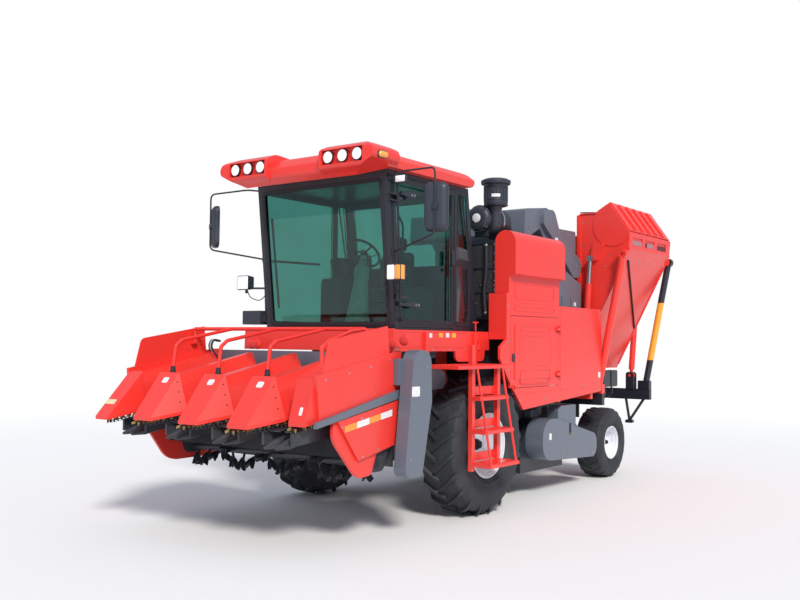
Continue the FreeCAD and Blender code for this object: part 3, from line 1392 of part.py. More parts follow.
def feeder_house():
    """Feeder house from the trough mouth back to the header pivot, with trunnions on the pivot line."""
    y, z = S.pivot_y, S.pivot_z
    outline = [(S.head_rear + S.gap, 1000), (S.head_rear + S.gap, 1400), (y, z + 150, 60),
               (y + 140, z + 140, 90), (y + 140, z - 140, 90), (y, z - 150, 60)]
    tube = panel("x", outline, "-290", "290", "Feeder_tube")
    way = [(S.head_rear - 10, 1030), (S.head_rear - 10, 1370), (y + 30, z + 100), (y + 30, z - 100)]
    inside = panel("x", way, "-260", "260", "Feeder_inside")
    trunnions = [bar((side * 275, y, z), (side * 380, y, z), 40, "Trunnion") for side in (1, -1)]
    return fused([less(tube, [inside])] + trunnions, "Feeder_house")


def pivot_brackets():
    """Brackets on the rails that hold the feeder house trunnions."""
    y, z = S.pivot_y, S.pivot_z
    made = []
    for side in (1, -1):
        near, far = sorted((side * 310, side * 380))
        plate = panel("x", [(y - 90, S.rail_low + 20), (y + 90, S.rail_low + 20), (y + 90, z + 90, 80),
                            (y - 90, z + 90, 80)], near, far, "Pivot_plate")
        hole = bar((side * 300, y, z), (side * 390, y, z), 40 + S.run, "Pivot_bore")
        made.append(less(plate, [hole]))
    return apart(made, "Pivot_brackets")


def cross_auger():
    """Cross auger: shaft with helical flights from both ends towards the middle."""
    reach = S.body_half - S.sheet
    y, z = S.auger_y, S.auger_z
    parts = [bar((-reach, y, z), (reach, y, z), 45, "Auger_tube")]
    doc.recompute()
    shape = parts[0].Shape
    step, pitch, thick = math.radians(30), 300, 8
    inner = 40
    for side in (1, -1):
        start, turns = 300, (reach - 340) / pitch
        count = int(turns * 12)
        points, faces = [], []
        for k in range(count + 1):
            x = side * (start + pitch * k / 12)
            a = side * step * k
            for dx in (-thick / 2, thick / 2):
                for r in (inner, S.auger_rad):
                    points.append((x + dx, y + r * math.sin(a), z + r * math.cos(a)))
        for k in range(count):
            p = 4 * k
            q = p + 4
            for a, b in ((0, 1), (1, 3), (3, 2), (2, 0)):
                faces += [(p + a, p + b, q + b), (p + a, q + b, q + a)]
        faces += [(0, 2, 3, 1), (4 * count, 4 * count + 1, 4 * count + 3, 4 * count + 2)]
        shape = shape.fuse(solid_of(points, faces, "Flight").Shape)
    made = doc.addObject("Part::Feature", "Cross_auger")
    made.Shape = shape
    return made


def stalk_chopper():
    """Stalk chopper rotor: shaft with pairs of Y blades set round it."""
    y, z = S.mower_y, S.mower_z
    reach = HALF - S.sheet
    shaft = bar((-reach, y, z), (reach, y, z), 50, "Chopper_shaft")
    doc.recompute()
    shape = shaft.Shape
    count = 24
    for k in range(count):
        x = -reach + 90 + k * (2 * reach - 180) / (count - 1)
        for half_turn in (0, 180):
            turn = k * 75 + half_turn
            stem = Part.makeBox(10, 26, S.mower_rad - 90, V(x - 5, -13, 40))
            for lean in (-1, 1):
                foot = Part.makePolygon([V(x, -10, S.mower_rad - 70), V(x, 10, S.mower_rad - 70),
                                         V(x + lean * 38, 14, S.mower_rad - 2),
                                         V(x + lean * 38, -14, S.mower_rad - 2),
                                         V(x, -10, S.mower_rad - 70)])
                blade = Part.Face(foot).extrude(V(7 * lean, 0, 0))
                stem = stem.fuse(blade)
            stem.rotate(V(0, 0, 0), V(1, 0, 0), turn)
            stem.translate(V(0, y, z))
            shape = shape.fuse(stem)
    made = doc.addObject("Part::Feature", "Stalk_chopper")
    made.Shape = shape
    return made


def chopper_hood():
    """Sheet over the stalk chopper, hung from the trough."""
    y, z, r = S.mower_y, S.mower_z, S.mower_rad + 25
    low = S.auger_z - S.auger_rad - 65
    inner = "body_half - sheet"
    outline = [(y + r + 20, low), (y + r + 20, z - 60), (y + r + 6, z - 60), (y + r + 6, low - 14),
               (y - r, low - 14), (y - r - 60, z + 60),
               (y - r - 74, z + 60), (y - r - 10, low)]
    sheet_over = panel("x", outline, f"-({inner})", inner, "Chopper_sheet")
    end = panel("x", [(y - 110, z - 80, 60), (y + 110, z - 80, 60), (y + r + 6, low), (y - r, low)],
                f"{inner} - 12", inner, "Chopper_end")
    bore = bar((-HALF, y, z), (HALF, y, z), 50 + S.run, "Chopper_bore")
    return less(fused([sheet_over, end, mirrored(end)]), [bore], "Chopper_hood")


def lift_foot():
    return S.pivot_y - 60, S.rail_low - 75


def lift_eye():
    return S.head_rear + 95, 840


def lift_barrels():
    """Barrels of the two header lift cylinders."""
    foot_y, foot_z = lift_foot()
    eye_y, eye_z = lift_eye()
    way = V(0, eye_y - foot_y, eye_z - foot_z)
    length = way.Length
    way.normalize()
    made = []
    for side in (1, -1):
        foot = V(side * 450, foot_y, foot_z)
        neck = bar(foot, foot + way * 90, 20, "Lift_neck")
        tube = bar(foot + way * 75, foot + way * (length - 260), 38, "Lift_barrel")
        eye = bar(foot - V(22, 0, 0), foot + V(22, 0, 0), 42, "Lift_eye")
        pin = bar(foot - V(52, 0, 0), foot + V(52, 0, 0), 18, "Lift_pin")
        bore = bar(foot + way * 190, foot + way * (length - 250), 24.5, "Lift_bore")
        made.append(less(fused([neck, tube, eye, pin]), [bore]))
    return apart(made, "Lift_barrels")


def lift_rods():
    """Rods of the header lift cylinders, each with its eye just behind the header's lug."""
    foot_y, foot_z = lift_foot()
    eye_y, eye_z = lift_eye()
    way = V(0, eye_y - foot_y, eye_z - foot_z)
    length = way.Length
    way.normalize()
    made = []
    for side in (1, -1):
        foot = V(side * 450, foot_y, foot_z)
        rod = bar(foot + way * (length - 430), foot + way * length, 24, "Lift_rod")
        eye = bar(foot + way * length - V(24, 0, 0), foot + way * length + V(24, 0, 0), 32, "Lift_rod_eye")
        made.append(fused([rod, eye]))
    return apart(made, "Lift_rods")


def lift_feet():
    """Forked plates under the rails for the lift cylinders."""
    foot_y, foot_z = lift_foot()
    made = []
    for side in (1, -1):
        for edge in (-1, 1):
            near, far = sorted((side * 450 + edge * 28, side * 450 + edge * 48))
            plate = panel("x", [(foot_y - 50, foot_z - 50, 40), (foot_y + 50, foot_z - 50, 40),
                                (foot_y + 50, S.rail_low), (foot_y - 50, S.rail_low)],
                          near, far, "Lift_plate")
            hole = bar((side * 380, foot_y, foot_z), (side * 520, foot_y, foot_z), 18 + S.run,
                       "Lift_foot_bore")
            made.append(less(plate, [hole]))
    return apart(made, "Lift_feet")


node("header_frame", header_frame())
node("header_sides", apart([header_side(1), header_side(-1)]))
node("header_bars", apart([header_bar(1), header_bar(-1)]))
dividers = []
limit = HALF - S.sheet - S.gap
for number, line in enumerate(LINES):
    at = max(HOOD_EDGE - limit, min(limit - HOOD_EDGE, line))
    to_left = ROWS[number] - at - ROW_GAP if number < 4 else HOOD_EDGE
    to_right = at - ROWS[number - 1] - ROW_GAP if number > 0 else HOOD_EDGE
    dividers.append(divider(at, to_left, to_right, TIPS[number]))
node("dividers", apart(dividers))
chains = []
for number, line in enumerate(LINES):
    at = max(HOOD_EDGE - limit, min(limit - HOOD_EDGE, line))
    if number < 4:
        chains.append(gathering_chain(at, 1, ROWS[number] - at - CHAIN_ROOM, TIPS[number]))
    if number > 0:
        chains.append(gathering_chain(at, -1, at - ROWS[number - 1] - CHAIN_ROOM, TIPS[number]))
node("gathering_chains", apart(chains))
rolls = []
for x in ROWS:
    rolls += snapping_rolls(x)
node("row_units", apart([row_unit(x) for x in ROWS] + rolls))
node("guard_pipes", guard_pipes())
node("header_drives", apart([header_drive_case(), input_case()]))
node("feeder_house", feeder_house())
node("cross_auger", cross_auger())
node("stalk_chopper", stalk_chopper())
node("chopper_hood", chopper_hood())
node("lift_cylinder_barrels", lift_barrels())
node("lift_cylinder_rods", lift_rods())
node("pivot_brackets", apart([pivot_brackets(), lift_feet(), cylinder_feet()]))

# ---------------------------------------------------------------- placing and writing
shift = (S.ahead - S.behind) / 2
doc.recompute()
for part in nodes:
    part.setExpression("Placement.Base.y", None)
    part.Placement = App.Placement(V(0, shift, 0), App.Rotation()).multiply(part.Placement)
doc.recompute()

os.makedirs("parts", exist_ok=True)
failed = [o.Name for o in doc.Objects if {"Invalid", "Error"} & set(o.State)]
if failed:
    raise RuntimeError(f"objects that failed: {failed}")
for part in nodes:
    shape = part.Shape
    if shape.isNull() or not shape.isValid() or not shape.Solids:
        raise RuntimeError(f"{part.Label} has no valid shape")
    shape.exportStep(f"parts/{part.Label}.step")
print(len(nodes), "sub-parts written")
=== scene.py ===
"""Corn harvester: paint, rubber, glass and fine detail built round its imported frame.

Places are in metres with the front axle at Y = 0, as the machine is drawn: +X to its left, +Y to its rear,
+Z up. Every finished mesh is then moved to the frame's own origin.
"""
import json
import math

import bmesh
import bpy
from bpy.props import FloatProperty, FloatVectorProperty, IntProperty, PointerProperty
from mathutils import Matrix, Vector


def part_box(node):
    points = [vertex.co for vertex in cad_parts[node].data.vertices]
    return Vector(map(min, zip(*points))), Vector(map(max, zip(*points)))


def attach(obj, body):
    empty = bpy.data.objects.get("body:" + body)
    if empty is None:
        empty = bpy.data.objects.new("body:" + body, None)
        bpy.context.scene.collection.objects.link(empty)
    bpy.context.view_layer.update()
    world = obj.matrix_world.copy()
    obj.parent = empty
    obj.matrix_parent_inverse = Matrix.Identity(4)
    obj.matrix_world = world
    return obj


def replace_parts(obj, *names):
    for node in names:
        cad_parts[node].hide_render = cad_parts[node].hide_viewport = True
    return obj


bl_info = {
    "name": "Corn Harvester",
    "version": (1, 0, 0),
    "blender": (4, 5, 0),
    "location": "View3D > Sidebar > Harvester",
    "description": "Finish and detail of a four-row corn harvester on its packed frame",
    "category": "Object",
}

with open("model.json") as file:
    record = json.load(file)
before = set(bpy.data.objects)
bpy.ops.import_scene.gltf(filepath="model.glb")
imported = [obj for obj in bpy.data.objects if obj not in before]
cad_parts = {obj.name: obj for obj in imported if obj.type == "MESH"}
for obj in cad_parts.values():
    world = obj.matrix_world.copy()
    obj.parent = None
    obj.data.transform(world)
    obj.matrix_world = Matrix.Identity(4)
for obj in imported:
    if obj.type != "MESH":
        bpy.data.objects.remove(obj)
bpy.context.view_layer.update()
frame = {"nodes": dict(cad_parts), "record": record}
TYRE_LOW, TYRE_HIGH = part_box("tyre_front_left")
SHIFT = Vector((0, (TYRE_LOW[1] + TYRE_HIGH[1]) / 2, 0))
X, Y, Z = Vector((1, 0, 0)), Vector((0, 1, 0)), Vector((0, 0, 1))
SIDES = (("left", 1), ("right", -1))
SOFT_EDGE = 0.004


# ------------------------------------------------------------ sizes and colours that a user may change
def metres(label, note, default):
    return FloatProperty(name=label, description=note, default=default, min=0, subtype="DISTANCE", unit="LENGTH")


def colour(label, note, default):
    return FloatVectorProperty(name=label, description=note, default=default, subtype="COLOR", min=0, max=1)


class HarvesterPaint(bpy.types.PropertyGroup):
    """Colours of the finishes."""
    red: colour("Red paint", "Sheet metal, tank and header", (0.85, 0.038, 0.028))
    grey: colour("Grey paint", "Drive covers and conveyors", (0.118, 0.142, 0.186))
    black: colour("Black paint", "Chassis and cab frame", (0.012, 0.016, 0.026))
    rim: colour("Rim paint", "Wheel rims", (0.80, 0.84, 0.90))
    post: colour("Post paint", "Rear hinge post of the tank", (0.86, 0.40, 0.035))
    glass: colour("Glass tint", "Cab glazing", (0.24, 0.60, 0.50))


class HarvesterSizes(bpy.types.PropertyGroup):
    """Sizes of the repeated details."""
    bolt: metres("Bolt", "Radius of a bolt head", 0.009)
    front_lugs: IntProperty(name="Front lugs", description="Pairs of lugs round a front tyre", default=20, min=6)
    rear_lugs: IntProperty(name="Rear lugs", description="Pairs of lugs round a rear tyre", default=22, min=6)
    link: metres("Chain pitch", "Spacing of the gathering chain's links", 0.038)


# ------------------------------------------------------------ shader helpers
class Value:
    """A shader socket that takes part in Python expressions."""

    def __init__(self, finish, socket):
        self.finish, self.socket = finish, socket

    def math(self, operation, one, two):
        return self.finish.node("ShaderNodeMath", {"operation": operation}, {0: one, 1: two})

    def __add__(self, other):
        return self.math("ADD", self, other)

    def __mul__(self, other):
        return self.math("MULTIPLY", self, other)

    def __rsub__(self, other):
        return self.math("SUBTRACT", other, self)

    __radd__ = __add__
    __rmul__ = __mul__

    def between(self, low, high):
        """0 below low, 1 above high and a smooth rise in between."""
        return self.finish.node("ShaderNodeMapRange", {"interpolation_type": "SMOOTHSTEP"},
                                {"Value": self, "From Min": low, "From Max": high})


DUST = (0.36, 0.29, 0.21)
FINISHES = {}


class Finish:
    """A procedural material under construction, kept under its name."""

    def __init__(self, name, **settings):
        self.material = FINISHES[name] = bpy.data.materials.new(name)
        self.material.use_nodes = True
        self.tree = self.material.node_tree
        self.tree.nodes.clear()
        self.surface = self.tree.nodes.new("ShaderNodeBsdfPrincipled")
        out = self.tree.nodes.new("ShaderNodeOutputMaterial")
        self.tree.links.new(self.surface.outputs[0], out.inputs["Surface"])
        self.place = self.node("ShaderNodeTexCoord", out="Object")
        for name, value in settings.items():
            self.set(name.replace("_", " ").title(), value)

    def feed(self, socket, value):
        if isinstance(value, Value):
            self.tree.links.new(value.socket, socket)
        elif socket.type == "RGBA":
            socket.default_value = (*value[:3], 1)
        else:
            socket.default_value = value

    def node(self, kind, settings=None, values=None, out=0):
        made = self.tree.nodes.new(kind)
        for key, value in (settings or {}).items():
            setattr(made, key, value)
        for key, value in (values or {}).items():
            self.feed(made.inputs[key], value)
        return Value(self, made.outputs[out])

    def set(self, socket, value):
        self.feed(self.surface.inputs[{"Ior": "IOR"}.get(socket, socket)], value)

    def noise(self, scale, detail):
        return self.node("ShaderNodeTexNoise", None, {"Vector": self.place, "Scale": scale,
                                                      "Detail": detail, "Roughness": 0.55})

    def waves(self, direction, scale):
        return self.node("ShaderNodeTexWave", {"bands_direction": direction},
                         {"Vector": self.place, "Scale": scale})

    def cells(self, scale):
        return self.node("ShaderNodeTexVoronoi", {"feature": "F1"}, {"Vector": self.place, "Scale": scale})

    def mix(self, share, one, two):
        return self.node("ShaderNodeMix", {"data_type": "RGBA"}, {0: share, 6: one, 7: two}, out=2)

    def axis(self, name):
        return self.node("ShaderNodeSeparateXYZ", None, {0: self.place}, out=name)

    def bump(self, height, depth, strength, normal=None):
        values = {"Height": height, "Distance": depth, "Strength": strength}
        if normal:
            values["Normal"] = normal
        self.set("Normal", self.node("ShaderNodeBump", None, values))


def shaded(tone, share):
    """A tone at a share of its brightness."""
    return [c * share for c in tone]


def paint(name, tone, rough=0.34, coat=0.22, dust=0.18):
    """Sprayed paint: slight orange peel, softened edges, fine scuffs, and dust that thickens lower down."""
    f = Finish(name, metallic=0.0, coat_weight=coat, coat_roughness=0.12)
    broad, fine, speck = f.noise(1.4, 4), f.noise(38, 5), f.noise(210, 2)
    low = 1 - f.axis("Z").between(0.15, 1.3)
    film = (low * 0.75 + 0.12) * broad.between(0.38, 0.72) * dust
    scuff = speck.between(0.69, 0.74) * fine.between(0.52, 0.68) * 0.35
    tint = f.mix(broad.between(0.3, 0.7) * 0.35, tone, shaded(tone, 0.78))
    f.set("Base Color", f.mix(film + scuff * 0.4, tint, DUST))
    f.set("Roughness", fine * 0.12 + film * 0.5 + (rough - 0.06))
    edges = f.node("ShaderNodeBevel", {"samples": 4}, {"Radius": SOFT_EDGE})
    f.bump(fine * 0.6 + speck * 0.4, 0.0006, 0.25, edges)


def banded(tone, dark):
    """The rear post's two coats: bright in its middle, dark above and below."""
    f = Finish("post_yellow", coat_weight=0.25, coat_roughness=0.15)
    broad, fine = f.noise(2, 4), f.noise(40, 5)
    height = f.axis("Z")
    share = height.between(1.565, 1.570) * (1 - height.between(2.378, 2.383))
    worn = f.mix(broad.between(0.4, 0.7) * 0.25, tone, shaded(tone, 0.7))
    f.set("Base Color", f.mix(share, dark, worn))
    f.set("Roughness", fine * 0.15 + 0.30)
    f.bump(fine, 0.0004, 0.25)


def cast(name, tone, rough, metallic, dust, grain=90, depth=0.001):
    """A matt or worn surface with a grain."""
    f = Finish(name, metallic=metallic)
    broad, fine = f.noise(2.1, 4), f.noise(grain, 4)
    low = 1 - f.axis("Z").between(0.1, 1.2)
    film = (low * 0.6 + 0.2) * broad.between(0.4, 0.7) * dust
    tint = f.mix(fine.between(0.35, 0.7) * 0.5, tone, shaded(tone, 0.6))
    f.set("Base Color", f.mix(film, tint, DUST))
    f.set("Roughness", fine * 0.22 + (rough - 0.1))
    f.bump(fine, depth, 0.5)


def rubber():
    """Tyre rubber: blue-black with a dusty tread and a fine moulded grain."""
    f = Finish("tyre_rubber")
    broad, fine, grain = f.noise(3.2, 5), f.noise(24, 5), f.noise(320, 2)
    film = broad.between(0.36, 0.72) * 0.32 + fine.between(0.5, 0.8) * 0.22
    f.set("Base Color", f.mix(film, (0.017, 0.020, 0.026), (0.075, 0.077, 0.082)))
    f.set("Roughness", fine * 0.2 + 0.58)
    f.bump(fine * 0.6 + grain * 0.4, 0.0015, 0.5)


def glass(tint):
    """Green-tinted safety glass whose tint darkens a little in broad patches."""
    f = Finish("tinted_glass", transmission_weight=1.0, ior=1.45)
    broad, fine = f.noise(1.2, 4), f.noise(60, 4)
    f.set("Base Color", f.mix(broad.between(0.35, 0.75) * 0.3, tint, shaded(tint, 0.72)))
    f.set("Roughness", fine.between(0.55, 0.9) * 0.08 + 0.015)


def lens(name, tone, emission):
    """A moulded lamp lens with fine vertical flutes."""
    f = Finish(name, coat_weight=0.8, coat_roughness=0.05, ior=1.5)
    flutes, grid = f.waves("X", 32), f.waves("Z", 22)
    f.set("Base Color", f.mix(flutes * grid * 0.5, tone, shaded(tone, 0.72)))
    f.set("Roughness", flutes * 0.15 + 0.1)
    f.set("Emission Color", f.mix(flutes, tone, shaded(tone, 0.8)))
    f.set("Emission Strength", emission)
    f.bump(flutes + grid, 0.0012, 0.4)


def weave():
    """Seat cloth with a woven rib."""
    f = Finish("seat_fabric", sheen_weight=0.5, sheen_roughness=0.5)
    cloth, broad = f.waves("X", 95) * f.waves("Y", 95), f.noise(5, 4)
    f.set("Base Color", f.mix(cloth * 0.6 + broad * 0.3, (0.040, 0.042, 0.050), (0.115, 0.118, 0.13)))
    f.set("Roughness", broad * 0.2 + 0.75)
    f.bump(cloth, 0.0012, 0.7)


def painted_leaf_reflection():
    """Black pillar trim whose upper part carries a painted reflection of leaves in small bright flecks."""
    f = Finish("pillar_gloss", coat_weight=0.9, coat_roughness=0.05)
    leaf, broad = f.cells(42), f.noise(9, 5)
    # Painted reflection: green-grey flecks mixed into the base colour on the upper part of the trim stand for
    # leaves mirrored in it.
    painted_leaf_glints = (1 - leaf.between(0.10, 0.26)) * broad.between(0.46, 0.62) * f.axis("Z").between(2.78, 3.0)
    f.set("Base Color", f.mix(painted_leaf_glints * 0.7, (0.022, 0.016, 0.020), (0.22, 0.36, 0.30)))
    f.set("Roughness", broad * 0.15 + 0.12)


def mesh_screen():
    """Perforated radiator screen whose holes are painted near-black for the shade seen through them."""
    f = Finish("screen", metallic=0.4)
    holes = f.cells(75)
    # Painted shade: the holes' near-black colour stands for the dark behind the screen.
    f.set("Base Color", f.mix(holes.between(0.25, 0.4), (0.004, 0.004, 0.005), (0.055, 0.055, 0.06)))
    f.set("Roughness", holes * 0.3 + 0.45)
    f.bump(holes, 0.002, 0.8)


# Plain finishes: tone, roughness, metal, dust, and for some the grain's scale and depth.
CAST = {
    "engine_iron": ((0.016, 0.020, 0.030), 0.62, 0.3, 0.12),
    "black_plastic": ((0.028, 0.036, 0.054), 0.44, 0, 0.1, 260, 0.0004),
    "rod_chrome": ((0.60, 0.61, 0.63), 0.28, 1.0, 0.2, 140, 0.0001),
    "chain_brass": ((0.46, 0.33, 0.12), 0.42, 0.85, 0.35, 180),
    "zinc": ((0.50, 0.49, 0.45), 0.40, 0.9, 0.3, 160),
    "black_rubber": ((0.014, 0.017, 0.024), 0.66, 0, 0.1),
    "white_label": ((0.82, 0.83, 0.84), 0.40, 0, 0.25, 60, 0.0002),
    "pale_plate": ((0.80, 0.70, 0.42), 0.42, 0, 0.3, 60, 0.0002),
    "orange_tape": ((0.88, 0.33, 0.05), 0.30, 0, 0.2, 300, 0.0004),
    "mirror_glass": ((0.75, 0.78, 0.80), 0.16, 1.0, 0.1, 90, 0),
    "inner_trim": ((0.06, 0.066, 0.08), 0.65, 0, 0.1, 220),
    "film_wrap": ((0.46, 0.50, 0.50), 0.30, 0, 0.05, 26, 0.010),
    # Painted light: a pale pink-grey for light showing through the tank's grid.
    "dull_panel": ((0.40, 0.20, 0.22), 0.50, 0, 0.1, 60, 0.0003),
    # Below the header: partly its dark slate paint, partly painted shade under the hoods.
    "under_grey_and_shade": ((0.030, 0.038, 0.050), 0.45, 0, 0.35, 60, 0.0005),
    # Painted shade: red paint as it looks in shadow.
    "dark_red": ((0.12, 0.008, 0.012), 0.50, 0, 0.1, 60, 0.0003),
}


def finishes(tones):
    """Makes every finish: those of the record's slots, and a few for small pieces."""
    paint("red_paint", tones.red)
    paint("cylinder_red", tones.red)
    paint("grey_paint", tones.grey, 0.42, 0.25, 0.35)
    paint("black_frame", tones.black, 0.45, 0.2, 0.12)
    paint("rim_paint", tones.rim, 0.30, 0.5, 0.10)
    banded(tones.post, tones.black)
    glass(tones.glass)
    lens("lamp_white", (0.93, 0.93, 0.93), 0.35)
    lens("amber_lens", (0.90, 0.36, 0.05), 0.12)
    lens("red_lens", (0.62, 0.02, 0.02), 0)
    for make in (weave, rubber, painted_leaf_reflection, mesh_screen):
        make()
    for name, settings in CAST.items():
        cast(name, *settings)


def finish_nodes():
    """Gives each carried-over node its slot's finish, bar a darker grey below the header that is partly its dark
    paint and partly painted shade, and red barrels.
    """
    others = {"row_units": "under_grey_and_shade", "chopper_hood": "under_grey_and_shade", "tip_cylinder_barrels": "cylinder_red"}
    for part in frame["record"]["subparts"]:
        node = frame["nodes"][part["node"]]
        finish = FINISHES[others.get(part["node"], part["material_slot"])]
        if not node.material_slots:
            node.data.materials.append(finish)
        for slot in node.material_slots:
            slot.material = finish


# ------------------------------------------------------------ mesh helpers
def turns(count):
    """Even angles of a full turn."""
    return [2 * math.pi * k / count for k in range(count)]


def spun(centre, side, over, radius, sides):
    """Points of a circle from side towards over."""
    return [centre + side * (radius * math.cos(a)) + over * (radius * math.sin(a)) for a in turns(sides)]


def circle(centre, axis, radius, sides):
    """Points of a circle round an axis, from its lowest point where the axis runs across the machine."""
    axis = axis.normalized()
    side = -Z if abs(axis.x) > 0.9 else axis.orthogonal().normalized()
    return spun(centre, side, axis.cross(side), radius, sides)


def rounded(outline, bends=4):
    """Corners of a closed flat outline, with those that carry a radius as a third number rounded."""
    flat = [Vector(p[:2]) for p in outline]
    made = []
    for i, p in enumerate(outline):
        here, before, after = flat[i], flat[i - 1], flat[(i + 1) % len(flat)]
        if len(p) == 2:
            made.append(here)
            continue
        radius = p[2]
        one, two = (before - here).normalized(), (after - here).normalized()
        half = one.angle(two) / 2
        centre = here + (one + two).normalized() * (radius / math.sin(half))
        first, last = here + one * (radius / math.tan(half)), here + two * (radius / math.tan(half))
        for k in range(bends + 1):
            way = (first - centre).lerp(last - centre, k / bends).normalized()
            made.append(centre + way * radius)
    return made


def to_space(axis, pair, along):
    """A point of an outline: (Y, Z) across X, (X, Z) across Y, (X, Y) across Z, or on a drawing plane."""
    a, b = pair
    if callable(axis):
        return axis(a, b, along)
    return Vector({"x": (along, a, b), "y": (a, along, b), "z": (a, b, along)}[axis])


def plane(origin, across, up):
    """A drawing plane: outlines run along across and up, and depth goes the way the plane faces."""
    origin, across = Vector(origin), Vector(across).normalized()
    facing = across.cross(Vector(up)).normalized()
    up = facing.cross(across)
    return lambda a, b, along: origin + across * a + up * b + facing * along


def shrunk(outline, inset):
    """An outline with every corner moved inwards by the same inset."""
    flat = [Vector(p[:2]) for p in outline]
    made = []
    for i, p in enumerate(outline):
        one, two = (flat[i - 1] - flat[i]).normalized(), (flat[(i + 1) % len(flat)] - flat[i]).normalized()
        here = flat[i] + (one + two).normalized() * (inset / math.sin(one.angle(two) / 2))
        made.append((here.x, here.y, max(p[2] - inset, 0.001)) if len(p) == 3 else (here.x, here.y))
    return made


def block(wide, high, bend):
    """The outline of a rounded rectangle round the origin."""
    return oblong(-wide / 2, -high / 2, wide / 2, high / 2, bend)


def oblong(left, low, right, high, bend):
    """The outline of a rounded rectangle between two corners."""
    return [(left, low, bend), (right, low, bend), (right, high, bend), (left, high, bend)]


class Shape:
    """Collects closed forms into one mesh."""

    def __init__(self):
        self.mesh = bmesh.new()

    def loft(self, rings, loop=False):
        """Skins rings of equal length, and closes the ends unless the rings form a loop."""
        rows = [[self.mesh.verts.new(p) for p in ring] for ring in rings]
        size = len(rows[0])
        pairs = list(zip(rows, rows[1:])) + ([(rows[-1], rows[0])] if loop else [])
        for one, two in pairs:
            for i in range(size):
                j = (i + 1) % size
                self.mesh.faces.new((one[i], one[j], two[j], two[i]))
        if not loop:
            self.mesh.faces.new(list(reversed(rows[0])))
            self.mesh.faces.new(rows[-1])
        return self

    def box(self, low, high):
        (a, b, c), (d, e, f) = low, high
        return self.loft([[Vector((a, b, z)), Vector((d, b, z)), Vector((d, e, z)), Vector((a, e, z))]
                          for z in (c, f)])

    def rod(self, start, end, radius, sides):
        start, end = Vector(start), Vector(end)
        return self.loft([circle(at, end - start, radius, sides) for at in (start, end)])

    def plate(self, axis, outline, low, high, bends=4):
        """An outline drawn across an axis, given a thickness along it."""
        flat = rounded(outline, bends)
        return self.loft([[to_space(axis, p, at) for p in flat] for at in (low, high)])

    def border(self, axis, outline, inset, low, high, bends=4):
        """A closed border of even width inside an outline."""
        outer, inner = rounded(outline, bends), rounded(shrunk(outline, inset), bends)
        rings = ((outer, low), (outer, high), (inner, high), (inner, low))
        return self.loft([[to_space(axis, p, at) for p in flat] for flat, at in rings], loop=True)

    def pad(self, axis, outline, levels, bends=4):
        """A rounded block across an axis: each level is (place along it, inset of the outline there)."""
        return self.loft([[to_space(axis, p, at) for p in rounded(shrunk(outline, inset), bends)]
                          for at, inset in levels])

    def ring(self, centre, axis, radius, tube, sides, tube_sides):
        """A round bar bent into a ring."""
        centre, axis = Vector(centre), Vector(axis).normalized()
        return self.loft([circle(centre + axis * (tube * math.sin(a)), axis, radius + tube * math.cos(a),
                                 sides)
                          for a in turns(tube_sides)], loop=True)

    def dish(self, centre, axis, profile, sides=24):
        """Rings round an axis: each step of the profile is (distance along the axis, radius)."""
        centre, axis = Vector(centre), Vector(axis).normalized()
        return self.loft([circle(centre + axis * along, axis, max(radius, 1e-4), sides)
                          for along, radius in profile])

    def pipe(self, points, radius, bend=0.06, sides=10, steps=4):
        """A round tube through points, with its corners bent."""
        way = [Vector(p) for p in points]
        path = [way[0]]
        for before, here, after in zip(way, way[1:], way[2:]):
            one, two = before - here, after - here
            reach = min(bend, one.length * 0.48, two.length * 0.48)
            first, last = here + one.normalized() * reach, here + two.normalized() * reach
            for k in range(steps + 1):
                t = k / steps
                path.append(first * (1 - t) ** 2 + here * (2 * t * (1 - t)) + last * t ** 2)
        path.append(way[-1])
        side = (path[1] - path[0]).orthogonal().normalized()
        rings = []
        for i, p in enumerate(path):
            along = (path[min(i + 1, len(path) - 1)] - path[max(i - 1, 0)]).normalized()
            side = (side - along * side.dot(along)).normalized()
            rings.append(spun(p, side, along.cross(side), radius, sides))
        return self.loft(rings)

    def object(self, name, smooth=35.0):
        """The collected forms as an object at the frame's origin."""
        bmesh.ops.recalc_face_normals(self.mesh, faces=self.mesh.faces)
        bmesh.ops.translate(self.mesh, vec=SHIFT, verts=self.mesh.verts)
        data = bpy.data.meshes.new(name)
        self.mesh.to_mesh(data)
        self.mesh.free()
        data.polygons.foreach_set("use_smooth", [True] * len(data.polygons))
        data.set_sharp_from_angle(angle=math.radians(smooth))
        return linked(name, data)

    def piece(self, name, finish, body="machine", bevel=0.0, smooth=35.0):
        """The collected forms as a finished piece that rides a body."""
        made = self.object(name, smooth)
        if bevel:
            edge = made.modifiers.new("Edges", "BEVEL")
            edge.width, edge.segments, edge.limit_method = bevel, 2, "ANGLE"
            edge.angle_limit = math.radians(30)
        return ride(made, body, finish)


def ride(made, body, finish):
    """Gives an object its finish and its body."""
    if len(made.data.materials) < 2:
        made.data.materials.clear()
        made.data.materials.append(FINISHES[finish])
    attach(made, body)
    finish in {part["material_slot"] for part in frame["record"]["subparts"]}
    return made


def applied(made):
    """The object's evaluated mesh in place of its modifiers."""
    graph = bpy.context.evaluated_depsgraph_get()
    data = bpy.data.meshes.new_from_object(made.evaluated_get(graph), depsgraph=graph)
    made.modifiers.clear()
    made.data = data
    return made


